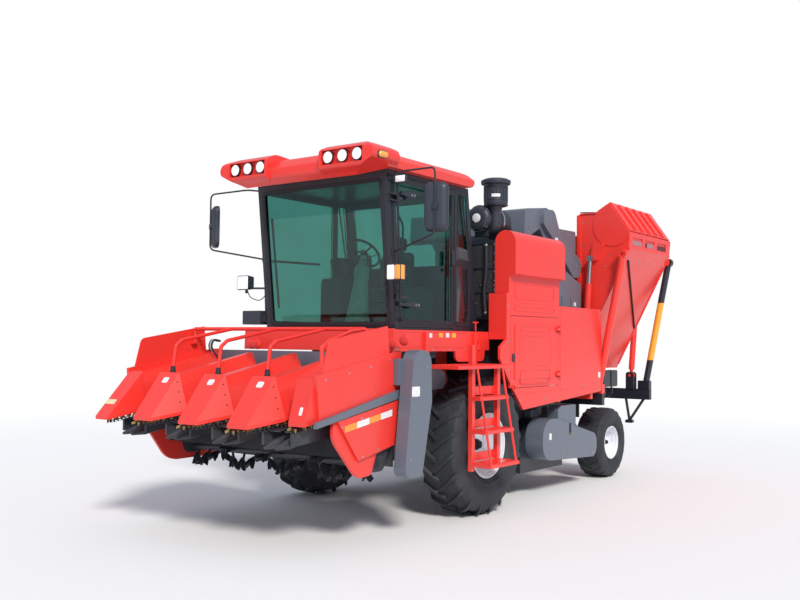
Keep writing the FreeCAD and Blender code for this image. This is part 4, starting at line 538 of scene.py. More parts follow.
# ------------------------------------------------------------ geometry node helpers
class Graph:
    """A geometry node tree under construction, with named inputs."""

    def __init__(self, name, inputs):
        self.tree = bpy.data.node_groups.new(name, "GeometryNodeTree")
        face = self.tree.interface
        face.new_socket("Geometry", in_out="INPUT", socket_type="NodeSocketGeometry")
        self.names = {}
        for label, kind in inputs:
            self.names[label] = face.new_socket(label, in_out="INPUT", socket_type="NodeSocket" + kind).identifier
        self.names["Finish"] = face.new_socket("Finish", in_out="INPUT",
                                               socket_type="NodeSocketMaterial").identifier
        face.new_socket("Geometry", in_out="OUTPUT", socket_type="NodeSocketGeometry")
        self.start = self.tree.nodes.new("NodeGroupInput")

    def node(self, kind, settings=None, values=None, out=0):
        made = self.tree.nodes.new(kind)
        for key, value in (settings or {}).items():
            setattr(made, key, value)
        for key, value in (values or {}).items():
            if isinstance(value, bpy.types.NodeSocket):
                self.tree.links.new(value, made.inputs[key])
            else:
                made.inputs[key].default_value = value
        return made.outputs[out]

    def input(self, label):
        return self.start.outputs[label]

    def math(self, operation, *values):
        return self.node("ShaderNodeMath", {"operation": operation}, dict(enumerate(values)))

    def joined(self, *parts):
        both = self.tree.nodes.new("GeometryNodeJoinGeometry")
        for part in parts:
            self.tree.links.new(part, both.inputs[0])
        return both.outputs[0]

    def painted(self, geometry, finish, chosen=True):
        return self.node("GeometryNodeSetMaterial", None,
                         {"Geometry": geometry, "Selection": chosen, "Material": self.input(finish)})

    def placed(self, points, copied, turn, chosen=True):
        """A copy of a form on every chosen point."""
        return self.node("GeometryNodeInstanceOnPoints", None,
                         {"Points": points, "Selection": chosen, "Instance": copied, "Rotation": turn})

    def aimed(self, axis, vector):
        return self.node("FunctionNodeAlignRotationToVector", {"axis": axis}, {"Vector": vector})

    def finish(self, geometry, paint=True):
        real = self.node("GeometryNodeRealizeInstances", None, {0: geometry})
        painted = self.painted(real, "Finish", paint)
        self.tree.links.new(painted, self.tree.nodes.new("NodeGroupOutput").inputs[0])
        return self

    def grow(self, base, body, finish, **values):
        """Runs the tree on an object with its inputs set, and leaves a plain mesh that rides a body."""
        maker = base.modifiers.new("Repeat", "NODES")
        maker.node_group = self.tree
        for label, value in values.items():
            maker[self.names[label.replace("_", " ")]] = FINISHES[value] if isinstance(value, str) else value
        maker[self.names["Finish"]] = FINISHES[finish]
        return ride(applied(base), body, finish)


def bolt_graph():
    """A washer and a hexagon head on every vertex, standing along the vertex's own aim."""
    g = Graph("Bolts", (("Head", "Float"),))
    size = g.input("Head")
    wide, thin, tall = (g.math("MULTIPLY", size, share) for share in (1.45, 0.35, 1.5))
    washer = g.node("GeometryNodeMeshCylinder", None, {"Vertices": 14, "Radius": wide, "Depth": thin})
    head = g.node("GeometryNodeMeshCylinder", None, {"Vertices": 6, "Radius": size, "Depth": tall})
    aim = g.node("GeometryNodeInputNamedAttribute", {"data_type": "FLOAT_VECTOR"}, {"Name": "aim"})
    return g.finish(g.placed(g.input("Geometry"), g.joined(washer, head), g.aimed("Z", aim)))


def around_graph():
    """Repeats the given mesh round an axis along X through the origin."""
    g = Graph("Around", (("Count", "Int"),))
    step = g.math("DIVIDE", 2 * math.pi, g.input("Count"))
    angle = g.math("MULTIPLY", g.node("GeometryNodeInputIndex"), step)
    euler = g.node("ShaderNodeCombineXYZ", None, {"X": angle})
    points = g.node("GeometryNodePoints", None, {"Count": g.input("Count")})
    return g.finish(g.placed(points, g.input("Geometry"), euler))


def chain_graph():
    """Side plates, rollers and, on every few links, a lug along the edges of a path."""
    g = Graph("Chain", (("Pitch", "Float"), ("Lug Every", "Int"), ("Size", "Float"), ("Link Finish", "Material")))

    def scaled(factor):
        return g.math("MULTIPLY", g.input("Size"), factor)

    def spread(triple):
        return g.node("ShaderNodeCombineXYZ", None, {k: scaled(factor) for k, factor in enumerate(triple)})

    def brick(size, at):
        cube = g.node("GeometryNodeMeshCube", None, {"Size": spread(size)})
        return g.node("GeometryNodeTransform", None, {"Geometry": cube, "Translation": spread(at)})

    roller = g.node("GeometryNodeMeshCylinder", None, {"Vertices": 8, "Radius": scaled(0.26), "Depth": scaled(1.0)})
    link = g.joined(roller, brick((0.95, 0.5, 0.1), (0.35, 0, 0.45)), brick((0.95, 0.5, 0.1), (0.35, 0, -0.45)))
    link = g.painted(link, "Link Finish")
    horn = g.joined(brick((0.75, 1.1, 0.22), (0.2, 0.55, 0.6)), brick((0.3, 1.2, 0.7), (0.2, 0.8, 0.3)))
    lug = g.joined(link, g.painted(horn, "Finish"))
    path = g.node("GeometryNodeMeshToCurve", None, {0: g.input("Geometry")})
    even = g.node("GeometryNodeResampleCurve", {"mode": "LENGTH"}, {"Curve": path, "Length": g.input("Pitch")})
    turn = g.aimed("X", g.node("GeometryNodeInputTangent"))
    left = g.math("MODULO", g.node("GeometryNodeInputIndex"), g.input("Lug Every"))
    bare, lugged = (g.node("FunctionNodeCompare", {"data_type": "FLOAT", "operation": way}, {0: left, 1: 0.5})
                    for way in ("GREATER_THAN", "LESS_THAN"))
    return g.finish(g.joined(g.placed(even, link, turn, bare), g.placed(even, lug, turn, lugged)), False)


GRAPHS = {}
SMALL_BOLT = 0.007


def linked(name, data):
    """A mesh, light or camera as an object in the scene."""
    made = bpy.data.objects.new(name, data)
    bpy.context.scene.collection.objects.link(made)
    return made


def point_cloud(name, points, aims):
    """Loose vertices, each with an aim."""
    data = bpy.data.meshes.new(name)
    data.from_pydata([Vector(p) + SHIFT for p in points], [], [])
    store = data.attributes.new("aim", "FLOAT_VECTOR", "POINT")
    store.data.foreach_set("vector", [c for aim in aims for c in aim])
    return linked(name, data)


def closed_paths(name, paths):
    """Closed runs of edges, all in one mesh."""
    points, edges = [], []
    for path in paths:
        first, size = len(points), len(path)
        points += [p + SHIFT for p in path]
        edges += [(first + k, first + (k + 1) % size) for k in range(size)]
    data = bpy.data.meshes.new(name)
    data.from_pydata(points, edges, [])
    return linked(name, data)


def bolts(name, spots, finish, size=None, body="machine"):
    """Bolt heads at spots, each given as (place, aim)."""
    head = size or bpy.context.scene.harvester_sizes.bolt
    GRAPHS["bolts"].grow(point_cloud(name, *zip(*spots)), body, finish, Head=head)


def line_of(start, end, count, aim):
    """Evenly spaced bolt spots from start to end."""
    start, end = Vector(start), Vector(end)
    return [(start.lerp(end, k / max(count - 1, 1)), aim) for k in range(count)]


def both_sides(spots):
    """The same spots on both sides of the machine."""
    return spots + [(Vector((-p[0], p[1], p[2])), Vector((-a[0], a[1], a[2]))) for p, a in spots]


# ------------------------------------------------------------ stage
CAMERA_AT = Vector((6.360, -8.470, 1.797))
CAMERA_TURN, CAMERA_PITCH, CAMERA_ROLL = math.radians(36.47), math.radians(2.52), math.radians(0.596)
SENSOR, LENS = 36.0, 42.3
SKY_TONE, SKY_LIGHT = (0.80, 0.87, 1.0, 1), 0.62
SUN_LIGHT, SUN_SPREAD, SUN_TONE, SUN_AIM = 3.0, 12, (1.0, 0.96, 0.90), (-0.62, 0.48, -0.62)
GROUND, GROUND_NEAR, GROUND_FAR = 60, 7.0, 16.0


def backdrop_material():
    """Plain white for the camera further out, and a pale lit ground near by that keeps the shadow."""
    f = Finish("ground", roughness=0.9)
    fine = f.noise(6, 4)
    f.set("Base Color", f.mix(fine * 0.12, (0.86, 0.86, 0.86), (0.78, 0.78, 0.78)))
    f.set("Roughness", fine * 0.1 + 0.85)
    glow = f.tree.nodes.new("ShaderNodeEmission")
    out = next(n for n in f.tree.nodes if n.type == "OUTPUT_MATERIAL")
    away = f.node("ShaderNodeVectorMath", {"operation": "LENGTH"}, {0: f.place},
                  out="Value").between(GROUND_NEAR, GROUND_FAR)
    seen = f.node("ShaderNodeLightPath", out="Is Camera Ray")
    both = f.tree.nodes.new("ShaderNodeMixShader")
    f.feed(both.inputs[0], away * seen)
    f.tree.links.new(f.surface.outputs[0], both.inputs[1])
    f.tree.links.new(glow.outputs[0], both.inputs[2])
    f.tree.links.new(both.outputs[0], out.inputs["Surface"])
    return f.material


def set_world():
    """An overcast sky that shows as plain white."""
    world = bpy.data.worlds.new("Sky")
    world.use_nodes = True
    tree = world.node_tree
    tree.nodes.clear()
    sky, plain, path, both, out = (tree.nodes.new("ShaderNode" + kind) for kind in (
        "Background", "Background", "LightPath", "MixShader", "OutputWorld"))
    sky.inputs[0].default_value = SKY_TONE
    sky.inputs[1].default_value = SKY_LIGHT
    plain.inputs[0].default_value = (1, 1, 1, 1)
    tree.links.new(path.outputs["Is Camera Ray"], both.inputs[0])
    tree.links.new(sky.outputs[0], both.inputs[1])
    tree.links.new(plain.outputs[0], both.inputs[2])
    tree.links.new(both.outputs[0], out.inputs[0])
    bpy.context.scene.world = world


def set_sun():
    """A broad, warm sun from the front left."""
    data = bpy.data.lights.new("Sun", "SUN")
    data.energy, data.angle, data.color = SUN_LIGHT, math.radians(SUN_SPREAD), SUN_TONE
    linked("Sun", data).rotation_euler = Vector(SUN_AIM).to_track_quat("-Z", "Y").to_euler()


def set_camera():
    """The camera at the photograph's place and angle."""
    a, p, roll = CAMERA_TURN, CAMERA_PITCH, CAMERA_ROLL
    ahead = Vector((-math.sin(a) * math.cos(p), math.cos(a) * math.cos(p), math.sin(p)))
    right = Vector((math.cos(a), math.sin(a), 0))
    up = right.cross(ahead)
    right, up = right * math.cos(roll) + up * math.sin(roll), up * math.cos(roll) - right * math.sin(roll)
    data = bpy.data.cameras.new("Camera")
    data.sensor_width, data.lens = SENSOR, LENS
    data.clip_end = 200
    camera = linked("Camera", data)
    turn = Matrix((right, up, -ahead)).transposed().to_4x4()
    camera.matrix_world = Matrix.Translation(CAMERA_AT + SHIFT) @ turn
    bpy.context.scene.camera = camera


# ------------------------------------------------------------ wheels
# Each wheel's centre, radius, half width, lug height and bead radius, then its bolts: their circle
# as a share of the rim's seat, their count and their size.
FRONT_WHEEL = {"x": 1.060, "y": 0.0, "r": 0.725, "half": 0.2335, "lug": 0.036, "bead": 0.335,
               "circle": 0.42, "count": 10, "bolt": 0.017}
REAR_WHEEL = {"x": 0.925, "y": 3.5, "r": 0.465, "half": 0.185, "lug": 0.012, "bead": 0.222,
              "circle": 0.44, "count": 8, "bolt": 0.011}


def lathe(shape, centre, points, sides):
    """A closed section of (along X, radius) points turned round an axis along X."""
    return shape.loft([circle(centre + X * x, X, r, sides) for x, r in points], loop=True)


# The casing's section as shares of its half width and wall, from the bead round the flank to the tread.
CASING = [(0.80, 0.00), (0.84, 0.07), (0.92, 0.15), (0.955, 0.17), (0.96, 0.21), (0.945, 0.23), (0.985, 0.38),
          (1.0, 0.50), (0.995, 0.62), (0.975, 0.70), (0.972, 0.73), (0.955, 0.76), (0.91, 0.86), (0.80, 0.945),
          (0.55, 0.985), (0.0, 1.0)]
SHOULDER = 11


def casing_at(wheel, share):
    """Radius of the casing's tread at a share of its half width."""
    wall = wheel["r"] - wheel["lug"] - wheel["bead"]
    for (x, high), (inner, higher) in zip(CASING[SHOULDER:], CASING[SHOULDER + 1:]):
        if inner <= share <= x:
            return wheel["bead"] + wall * (high + (higher - high) * (x - share) / (x - inner))
    return wheel["bead"] + wall * CASING[SHOULDER][1] * 0.97


def carcass(wheel, centre):
    """The tyre without its lugs: a rounded casing with bead, rim guard and shoulder rings."""
    half, bead, tread = wheel["half"], wheel["bead"], wheel["r"] - wheel["lug"]
    wall = tread - bead
    right = [(-half * a, bead + wall * b) for a, b in CASING]
    points = right + [(-x, r) for x, r in reversed(right[:-1])]
    return lathe(Shape(), centre, points, 96)


def lug_pair(wheel, pairs):
    """A lug on each side of the middle, half a pitch apart, swept back and wrapped over its shoulder."""
    half, top, high = wheel["half"], wheel["r"], wheel["lug"]
    pitch = 2 * math.pi / pairs
    sweep, share, sunk, clear = 0.95, 0.088, 0.012, 0.0005
    # Each step is a share of the half width, the turn there in pitches, and shares of height and of breadth.
    steps = [(-0.06, 0.0, 0.9, 0.95), (0.25, 0.24, 1.0, 1.0), (0.55, 0.52, 1.0, 1.0), (0.80, 0.76, 1.1, 1.1),
             (0.88, 0.82, 0.9, 1.15), (0.93, 0.86, 0.55, 1.15), (0.960, 0.88, 0.15, 1.1), (0.975, 0.89, -0.4, 1.0)]
    shape = Shape()
    for side, shift in ((1, 0), (-1, 0.5)):
        rings = []
        for x, turn, proud, width in steps:
            angle = pitch * (turn * sweep + shift)
            crest = min(casing_at(wheel, abs(x)) + high * proud, top - clear)
            root, brow, wide = crest - high * 1.5 - sunk, crest - high * 0.16, pitch * share * width
            section = ((-1.35, root), (-1.0, brow), (-0.82, crest), (0.82, crest), (1.0, brow), (1.35, root))
            turned = [(angle + over * wide, r) for over, r in section]
            rings.append([Vector((side * half * x, -r * math.sin(a), -r * math.cos(a))) for a, r in turned])
        shape.loft(rings)
    return shape


def make_tyre(place, hand, side, wheel, pairs):
    """A tyre in place of its plain carried-over form."""
    name = f"tyre_{place}_{hand}"
    centre = Vector((side * wheel["x"], wheel["y"], wheel["r"]))
    lugs = lug_pair(wheel, pairs).object(name + "_lugs")
    lugs.data.transform(Matrix.Translation(-SHIFT))
    body = frame_body(name)
    GRAPHS["around"].grow(lugs, body, "tyre_rubber", Count=pairs)
    shape = carcass(wheel, centre)
    lugs.data.transform(Matrix.Translation(centre))
    shape.mesh.from_mesh(lugs.data)
    bpy.data.objects.remove(lugs)
    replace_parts(shape.piece(name + "_tread", "tyre_rubber", body, smooth=32), name)


def make_rim(place, hand, side, wheel):
    """A rim with rolled flanges, a dropped centre, a dished disc, a hub and its wheel bolts."""
    name = f"rim_{place}_{hand}"
    centre = Vector((side * wheel["x"], wheel["y"], wheel["r"]))
    seat, edge, out = wheel["bead"] - 0.012, wheel["half"] * 0.86, X * side
    hub, hub_face, step = seat * 0.34, centre + out * edge * 0.10, centre + out * edge * 0.05
    front = [(1.0, 1.055), (1.03, 1.035), (1.02, 0.995), (0.93, 0.985), (0.91, 0.950), (0.72, 0.940), (0.69, 0.905),
             (0.45, 0.890), (0.22, 0.86), (0.06, 0.74), (0.04, 0.62), (0.12, 0.52)]
    back = [(-0.02, 0.52), (-0.10, 0.64), (-0.08, 0.90), (-0.4, 0.90), (-0.93, 0.975), (-1.02, 0.99),
            (-1.03, 1.035),
            (-1, 1.055), (-0.95, 1.02), (-0.3, 0.945), (0.3, 0.945), (0.95, 1.02)]
    middle = [(edge * x, 0.002) for x in (0.12, -0.02)]
    section = [(edge * x, seat * r) for x, r in front] + middle + [(edge * x, seat * r) for x, r in back]
    disc = lathe(Shape(), centre, [(side * x, r) for x, r in section], 72)
    disc.dish(hub_face, out, [(0, hub * 1.5), (0.020, hub * 1.5), (0.024, hub * 1.46), (0.025, 0)], 40)
    body = frame_body(name)
    nose = [(0, 0.55), (0.03, 0.52), (0.045, 0.40), (0.065, 0.36), (0.072, 0.25), (0.074, 0)]
    cap = Shape().dish(hub_face + out * 0.02, out, [(along, hub * r) for along, r in nose], 28)
    cap.piece(name + "_hub", "engine_iron", body, smooth=40)
    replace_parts(disc.piece(name + "_disc", "rim_paint", body, smooth=40), name)
    for kind, face, reach, finish, size in (
            ("_bolts", centre + out * edge * 0.12, wheel["circle"], "engine_iron", wheel["bolt"]),
            ("_studs", step, 0.68, "zinc", SMALL_BOLT)):
        bolts(name + kind, [(p, out) for p in circle(face, X, seat * reach, wheel["count"])], finish, size, body)


def frame_body(node):
    """The body that a node rides."""
    for body, members in frame["record"]["behaviour"]["bodies"].items():
        if node in members:
            return body
    raise ValueError(node)


def touch(node, start, aim):
    """Where a ray meets a carried-over part, and the way its surface faces there."""
    hit, at, facing, _ = bpy.data.objects[node].ray_cast(Vector(start) + SHIFT, Vector(aim))
    if not hit:
        raise ValueError(f"no surface of {node} from {start}")
    return at - SHIFT, facing


# Rays start here, clear of the parts that they are cast at.
CLEAR_LEFT, CLEAR_FRONT = 2, -3.4


def beside(node, places):
    """Spots on a part's left face, each given as (Y, Z)."""
    return [touch(node, (CLEAR_LEFT, y, z), -X) for y, z in places]


def ahead(node, places):
    """Spots on a part's front face, each given as (X, Z)."""
    return [touch(node, (x, CLEAR_FRONT, z), Y) for x, z in places]


def plaques(shape, spots, wide, high, bend):
    """Thin rounded plates lying on a surface."""
    sunk, thick = 0.001, 0.003
    for at, facing in spots:
        level = Z.cross(facing).normalized()
        shape.plate(plane(at - facing * sunk, level, facing.cross(level)), block(wide, high, bend), 0, thick)
    return shape


def across(side, low, high):
    """A stretch of X on one side of the machine, lower end first."""
    return sorted((side * low, side * high))


# ------------------------------------------------------------ header
SNOUTS = (-0.615, 0.0, 0.615)


def header_bolts():
    """Bolt heads of the snouts, side panels and drive cases."""
    spots = []
    for x in SNOUTS:
        for side in (1, -1):
            for z in (1.40, 1.31, 1.22):
                rear_edge = 0.135 + (1.487 - z) * 0.341
                spots += ahead("dividers", [(x + side * (rear_edge - 0.016), z)])
    bolts("snout_bolt_heads", spots, "black_frame", 0.0055, "header")
    side_plate = [(-2.36, 1.07), (-2.10, 1.13), (-1.70, 1.19), (-1.60, 0.91), (-2.08, 0.80), (-1.86, 0.84)]
    guard = [(-1.66, 1.62), (-1.95, 1.57), (-2.25, 1.52), (-2.55, 1.47), (-1.57, 1.45)]
    spots = both_sides(beside("header_sides", side_plate + guard))
    bolts("side_bolt_heads", spots, "rod_chrome", SMALL_BOLT, "header")
    cover = [(-1.495, 1.192), (-1.60, 0.74), (-1.36, 1.56)]
    bolts("cover_bolt_heads", beside("header_drives", cover), "zinc", body="header")


def header_plates():
    """Blank plates, reflective tape and rubber sleeves of the header, and the apron's bosses."""
    white = plaques(Shape(), ahead("dividers", [(x + 0.01, 1.415) for x in SNOUTS]), 0.075, 0.060, 0.014)
    plaques(white, ahead("dividers", [(1.13, 1.215)]), 0.034, 0.07, 0.008)
    plaques(white, beside("header_drives", [(-1.53, 1.345)]), 0.12, 0.09, 0.008)
    white.piece("header_blank_plates", "white_label", "header")
    pale = plaques(Shape(), ahead("dividers", [(-1.13, 1.20)]), 0.13, 0.055, 0.006)
    pale.piece("header_pale_plate", "pale_plate", "header")
    tip, length, rise, tall = -2.33, 0.166, 0.162, 0.055
    for finish, places in (("orange_tape", (0, 2)), ("white_label", (1, 3))):
        shape = Shape()
        for k in places:
            (one, foot), (two, end) = ((tip + n * length, 1.02 + n * length * rise) for n in (k, k + 1))
            for side in (1, -1):
                shape.plate("x", [(one, foot), (two, end), (two, end + tall), (one, foot + tall)],
                            *across(side, 1.2555, 1.2570))
        shape.piece("header_tape_" + finish, finish, "header")
    sleeves, bosses = Shape(), Shape()
    for x in SNOUTS:
        sleeves.dish((x, -2.611, 1.470), Z, [(0, 0.028), (0.012, 0.030), (0.03, 0.024), (0.07, 0.021),
                                             (0.075, 0.017)], 16)
    sleeves.piece("pipe_sleeves", "black_rubber", "header", bevel=0.002)
    for x, z in ((0.997, 1.782), (1.136, 1.81), (-0.891, 1.752), (-0.801, 1.752)):
        bosses.dish((x, -1.328, z), -Y, [(0, 0.055), (0.012, 0.052), (0.018, 0.040), (0.020, 0)])
    bosses.piece("apron_bosses", "red_paint")


def deck_height(y):
    """Height of the header's sloped deck."""
    return 0.985 + (y + 3.060) * 0.19


def header_chains(pitch):
    """Gathering chains: a loop of links on each side of every row, with a lug on every other link."""
    rows = (-0.9225, -0.3075, 0.3075, 0.9225)
    lines = (-1.14, -0.615, 0.0, 0.615, 1.14)
    tips = (-2.960, -2.955, -2.955, -2.955, -2.770)
    paths = []
    for k, row in enumerate(rows):
        for line, tip, side in ((lines[k], tips[k], 1), (lines[k + 1], tips[k + 1], -1)):
            reach = abs(row - line) - 0.042
            flat = [(0.030, tip), (min(0.10, reach * 0.5), tip + 0.010), (reach, -2.635),
                    (reach - 0.03, -2.00), (0.07, -2.00), (0.03, -2.3)]
            paths.append([Vector((line + side * a, y, deck_height(y) + 0.018)) for a, y in flat])
    base = closed_paths("gathering_chain_links", paths)
    made = GRAPHS["chain"].grow(base, "header", "chain_brass", Pitch=pitch, Lug_Every=2, Size=0.028,
                                Link_Finish="engine_iron")
    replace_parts(made, "gathering_chains")


def chopper_knives():
    """Broad flail plates, two to each stem of the stalk chopper, spread across the rotor."""
    shape, axis, foot, stations, reach = Shape(), Vector((0, -1.830, 0.715)), 0.085, 24, 1.136
    outline = [(-0.014, 0, 0.002), (0.014, 0, 0.002), (0.030, 0.055, 0.006), (0.030, 0.128, 0.004),
               (-0.030, 0.128, 0.004), (-0.030, 0.055, 0.006)]
    for k in range(stations):
        x = reach * (2 * k / (stations - 1) - 1)
        for half_turn in (0, math.pi):
            turn = math.radians(75 * k) + half_turn
            out = Vector((0, -math.sin(turn), math.cos(turn)))
            over = Vector((0, math.cos(turn), math.sin(turn)))
            for lean in (-0.36, 0.36):
                up = out * math.cos(lean) + X * math.sin(lean)
                shape.plate(plane(axis + X * x + out * foot, over, up), outline, -0.004, 0.004, 1)
    shape.piece("chopper_knives", "engine_iron", frame_body("stalk_chopper"))


# ------------------------------------------------------------ cab
CAB_SIDE, CAB_FLOOR = 0.864, 1.95


def cab_front(z):
    """Y of the cab's sloping front at a height."""
    return ahead("cab_frame", [(0.85, z)])[0][0].y


def cab_seals():
    """Rubber round the panes and the door, and the pillar's panel and cover."""
    shape, middle, low, high = Shape(), 2.66, 2.1, 3.3
    front = plane((0, cab_front(middle), middle), X, (0, cab_front(high) - cab_front(low), high - low))
    shape.border(front, oblong(-0.815, -0.715, 0.815, 0.735, 0.075), 0.040, -0.014, 0.006, 6)
    shape.piece("windscreen_seal", "black_rubber", bevel=0.003)
    shape = Shape()
    behind = [(-0.02, 2.68, 0.03), (0.235, 2.665, 0.03), (0.075, 3.385, 0.03), (-0.02, 3.395, 0.03)]
    for side in (1, -1):
        shape.border("x", behind, 0.016, *across(side, CAB_SIDE, CAB_SIDE + 0.012))
    right = [(-1.135, 1.985, 0.05), (-0.02, 1.985, 0.05), (-0.02, 3.39, 0.05), (-1.225, 3.39, 0.05)]
    shape.border("x", right, 0.022, *across(-1, CAB_SIDE, CAB_SIDE + 0.012))
    shape.border("x", oblong(-0.052, 1.965, 0.215, 2.64, 0.05), 0.014, CAB_SIDE, CAB_SIDE + 0.014)
    shape.piece("side_seals", "black_rubber", bevel=0.002)
    outline = [(-1.085, 1.995, 0.05), (-0.115, 1.995, 0.05), (-0.115, 3.365, 0.05), (-1.168, 3.365, 0.05)]
    seal = Shape().border("x", outline, 0.020, 0.900, 0.913)
    seal.piece("door_seal", "black_rubber", "cab_door_body", bevel=0.002)
    panel = Shape().pad("x", oblong(-0.035, 2.005, 0.198, 2.60, 0.04), [(0.868, 0), (0.873, 0), (0.876, 0.006)])
    panel.piece("pillar_panel", "pillar_gloss")
    outline = [(-0.035, 2.675, 0.02), (0.215, 2.665, 0.02), (0.180, 2.80, 0.02), (-0.035, 2.82, 0.02)]
    cover = Shape().pad("x", outline, [(0.868, 0), (0.872, 0), (0.874, 0.004)])
    cover.piece("pillar_cover", "inner_trim")


def door_fittings():
    """The door's hinge straps with their caps and bolts, and its handle."""
    shape, caps, spots = Shape(), Shape(), []
    hinge, start = Vector((0.895, -1.130, 0)), -1.112
    for end, z in ((-0.855, 3.251), (-0.770, 2.161)):
        edge = [(start, 0.018, 0.004), (end - 0.165, 0.020, 0.01), (end - 0.10, 0.036, 0.02), (end, 0.030, 0.026)]
        outline = [(y, z - half, r) for y, half, r in edge] + [(y, z + half, r) for y, half, r in edge[::-1]]
        shape.pad("x", outline, [(0.908, 0), (0.918, 0), (0.922, 0.004)])
        spots += [(Vector((0.922, end - back, z)), X) for back in (0.072, 0.026)]
    shape.pad("x", oblong(-0.205, 2.60, -0.165, 2.76, 0.018), [(0.905, 0.002), (0.930, 0), (0.938, 0.005)])
    shape.dish((0.905, -0.185, 2.56), X, [(0, 0.020), (0.012, 0.020), (0.016, 0.014), (0.018, 0)], 18)
    shape.piece("door_fittings", "black_frame", "cab_door_body")
    bolts("door_hinge_bolts", spots, "rod_chrome", 0.008, "cab_door_body")
    for z in (3.251, 2.161):
        for way in (1, -1):
            caps.dish(hinge + Z * (z + 0.036 * way), Z * way,
                      [(0, 0.013), (0.012, 0.013), (0.016, 0.009), (0.017, 0)], 18)
    caps.piece("hinge_pins", "black_frame", bevel=0.002)


def roof_fittings():
    """Bezels, feet, glass and shells of the roof lamps, and the side markers."""
    bezels, feet, glow = Shape(), Shape(), Shape()
    for side in (1, -1):
        for x in (0.815, 0.635, 0.455):
            at = Vector((side * x, -1.678, 3.558))
            bezels.ring(at + Y * 0.006, Y, 0.0575, 0.0055, 30, 6)
            feet.pad("y", oblong(at.x - 0.018, at.z - 0.083, at.x + 0.018, at.z - 0.055, 0.006),
                     [(-1.672, 0), (-1.652, 0)])
            glow.dish(at + Y * 0.012, -Y, [(0, 0.056), (0.012, 0.055), (0.019, 0.040), (0.022, 0)], 28)
            feet.dish(at + Y * 0.075, -Y, [(0, 0.030), (0.02, 0.045), (0.062, 0.057), (0.064, 0.050)], 24)
    bezels.piece("roof_lamp_bezels", "black_plastic")
    feet.piece("roof_lamp_feet", "black_frame", bevel=0.002)
    glow.piece("roof_lamp_glass", "lamp_white")
    amber, base = Shape(), Shape()
    for side in (1, -1):
        at, facing = touch("cab_roof", (side * 2, -1.545, 3.548), (-side, 0, 0))
        flat = plane(at, Y * side, facing.cross(Y * side) if side > 0 else Z)
        base.pad(flat, block(0.150, 0.074, 0.034), [(-0.010, 0), (0.006, 0), (0.008, 0.003)], 6)
        amber.pad(flat, block(0.136, 0.062, 0.030), [(0.006, 0), (0.016, 0.003), (0.024, 0.012), (0.027, 0.022)], 6)
    base.piece("marker_bases", "black_plastic")
    amber.piece("marker_lenses", "amber_lens", smooth=60)


def pillar_lamps():
    """Work lamps on the front pillars, the left one with its turn lamp, each with its arm and wire."""
    housing, clear, amber, wires = Shape(), Shape(), Shape(), Shape()
    half, rim, ahead_by = 0.078, 0.008, 0.12
    for side, inner, outer, z in ((1, 0.892, 1.062, 2.460), (-1, -1.160, -0.985, 2.415)):
        front, low, high, middle = cab_front(z) - ahead_by, z - half, z + half, (inner + outer) / 2
        inside, above = low + rim, high - rim
        housing.pad("y", oblong(inner, low, outer, high, 0.022),
                    [(front + 0.102, 0.03), (front + 0.090, 0.010), (front + 0.020, 0), (front - 0.002, 0),
                     (front - 0.002, 0.006)])
        split, near = (inner + 0.094, inner) if side > 0 else (outer - rim, outer)
        clear.pad("y", oblong(inner + rim, inside, split - 0.002, above, 0.012),
                  [(front, 0), (front - 0.008, 0.002), (front - 0.011, 0.012)])
        if side > 0:
            amber.pad("y", oblong(split + 0.002, inside, outer - 0.006, above, 0.016),
                      [(front, 0), (front - 0.006, 0.002), (front - 0.010, 0.012)])
            amber.pad("x", oblong(front + 0.002, inside, front + 0.062, above, 0.014),
                      [(outer - 0.002, 0), (outer + 0.004, 0.002), (outer + 0.006, 0.010)])
        housing.pipe([(side * 0.862, front + 0.135, low + 0.020), (near, front + 0.080, low + 0.020),
                      (middle, front + 0.060, low + 0.020)], 0.011, 0.03)
        housing.dish((middle, front + 0.055, low - 0.035), Z,
                     [(0, 0.008), (0.004, 0.014), (0.02, 0.014), (0.04, 0.010)], 14)
        wires.pipe([(middle, front + 0.070, low), (middle + 0.02, front + 0.09, low - 0.08),
                    (side * 0.93, front + 0.12, low - 0.12), (side * 0.868, front + 0.15, low - 0.05)],
                   0.005, 0.05, 8, 6)
    outline = oblong(0.905, 3.338, 1.032, 3.414, 0.012)
    housing.pad("y", outline, [(-1.155, 0.012), (-1.162, 0.004), (-1.192, 0), (-1.197, 0), (-1.197, 0.005)])
    housing.pipe([(0.872, -1.150, 3.360), (0.905, -1.172, 3.365), (0.950, -1.172, 3.370)], 0.010, 0.02)
    clear.pad("y", shrunk(outline, 0.007), [(-1.194, 0), (-1.201, 0.002), (-1.204, 0.010)])
    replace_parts(housing.piece("pillar_lamp_housings", "black_plastic"), "lamps")
    clear.piece("pillar_lamp_glass", "lamp_white", smooth=60)
    amber.piece("pillar_lamp_amber", "amber_lens", smooth=60)
    wires.piece("pillar_lamp_wires", "black_rubber")


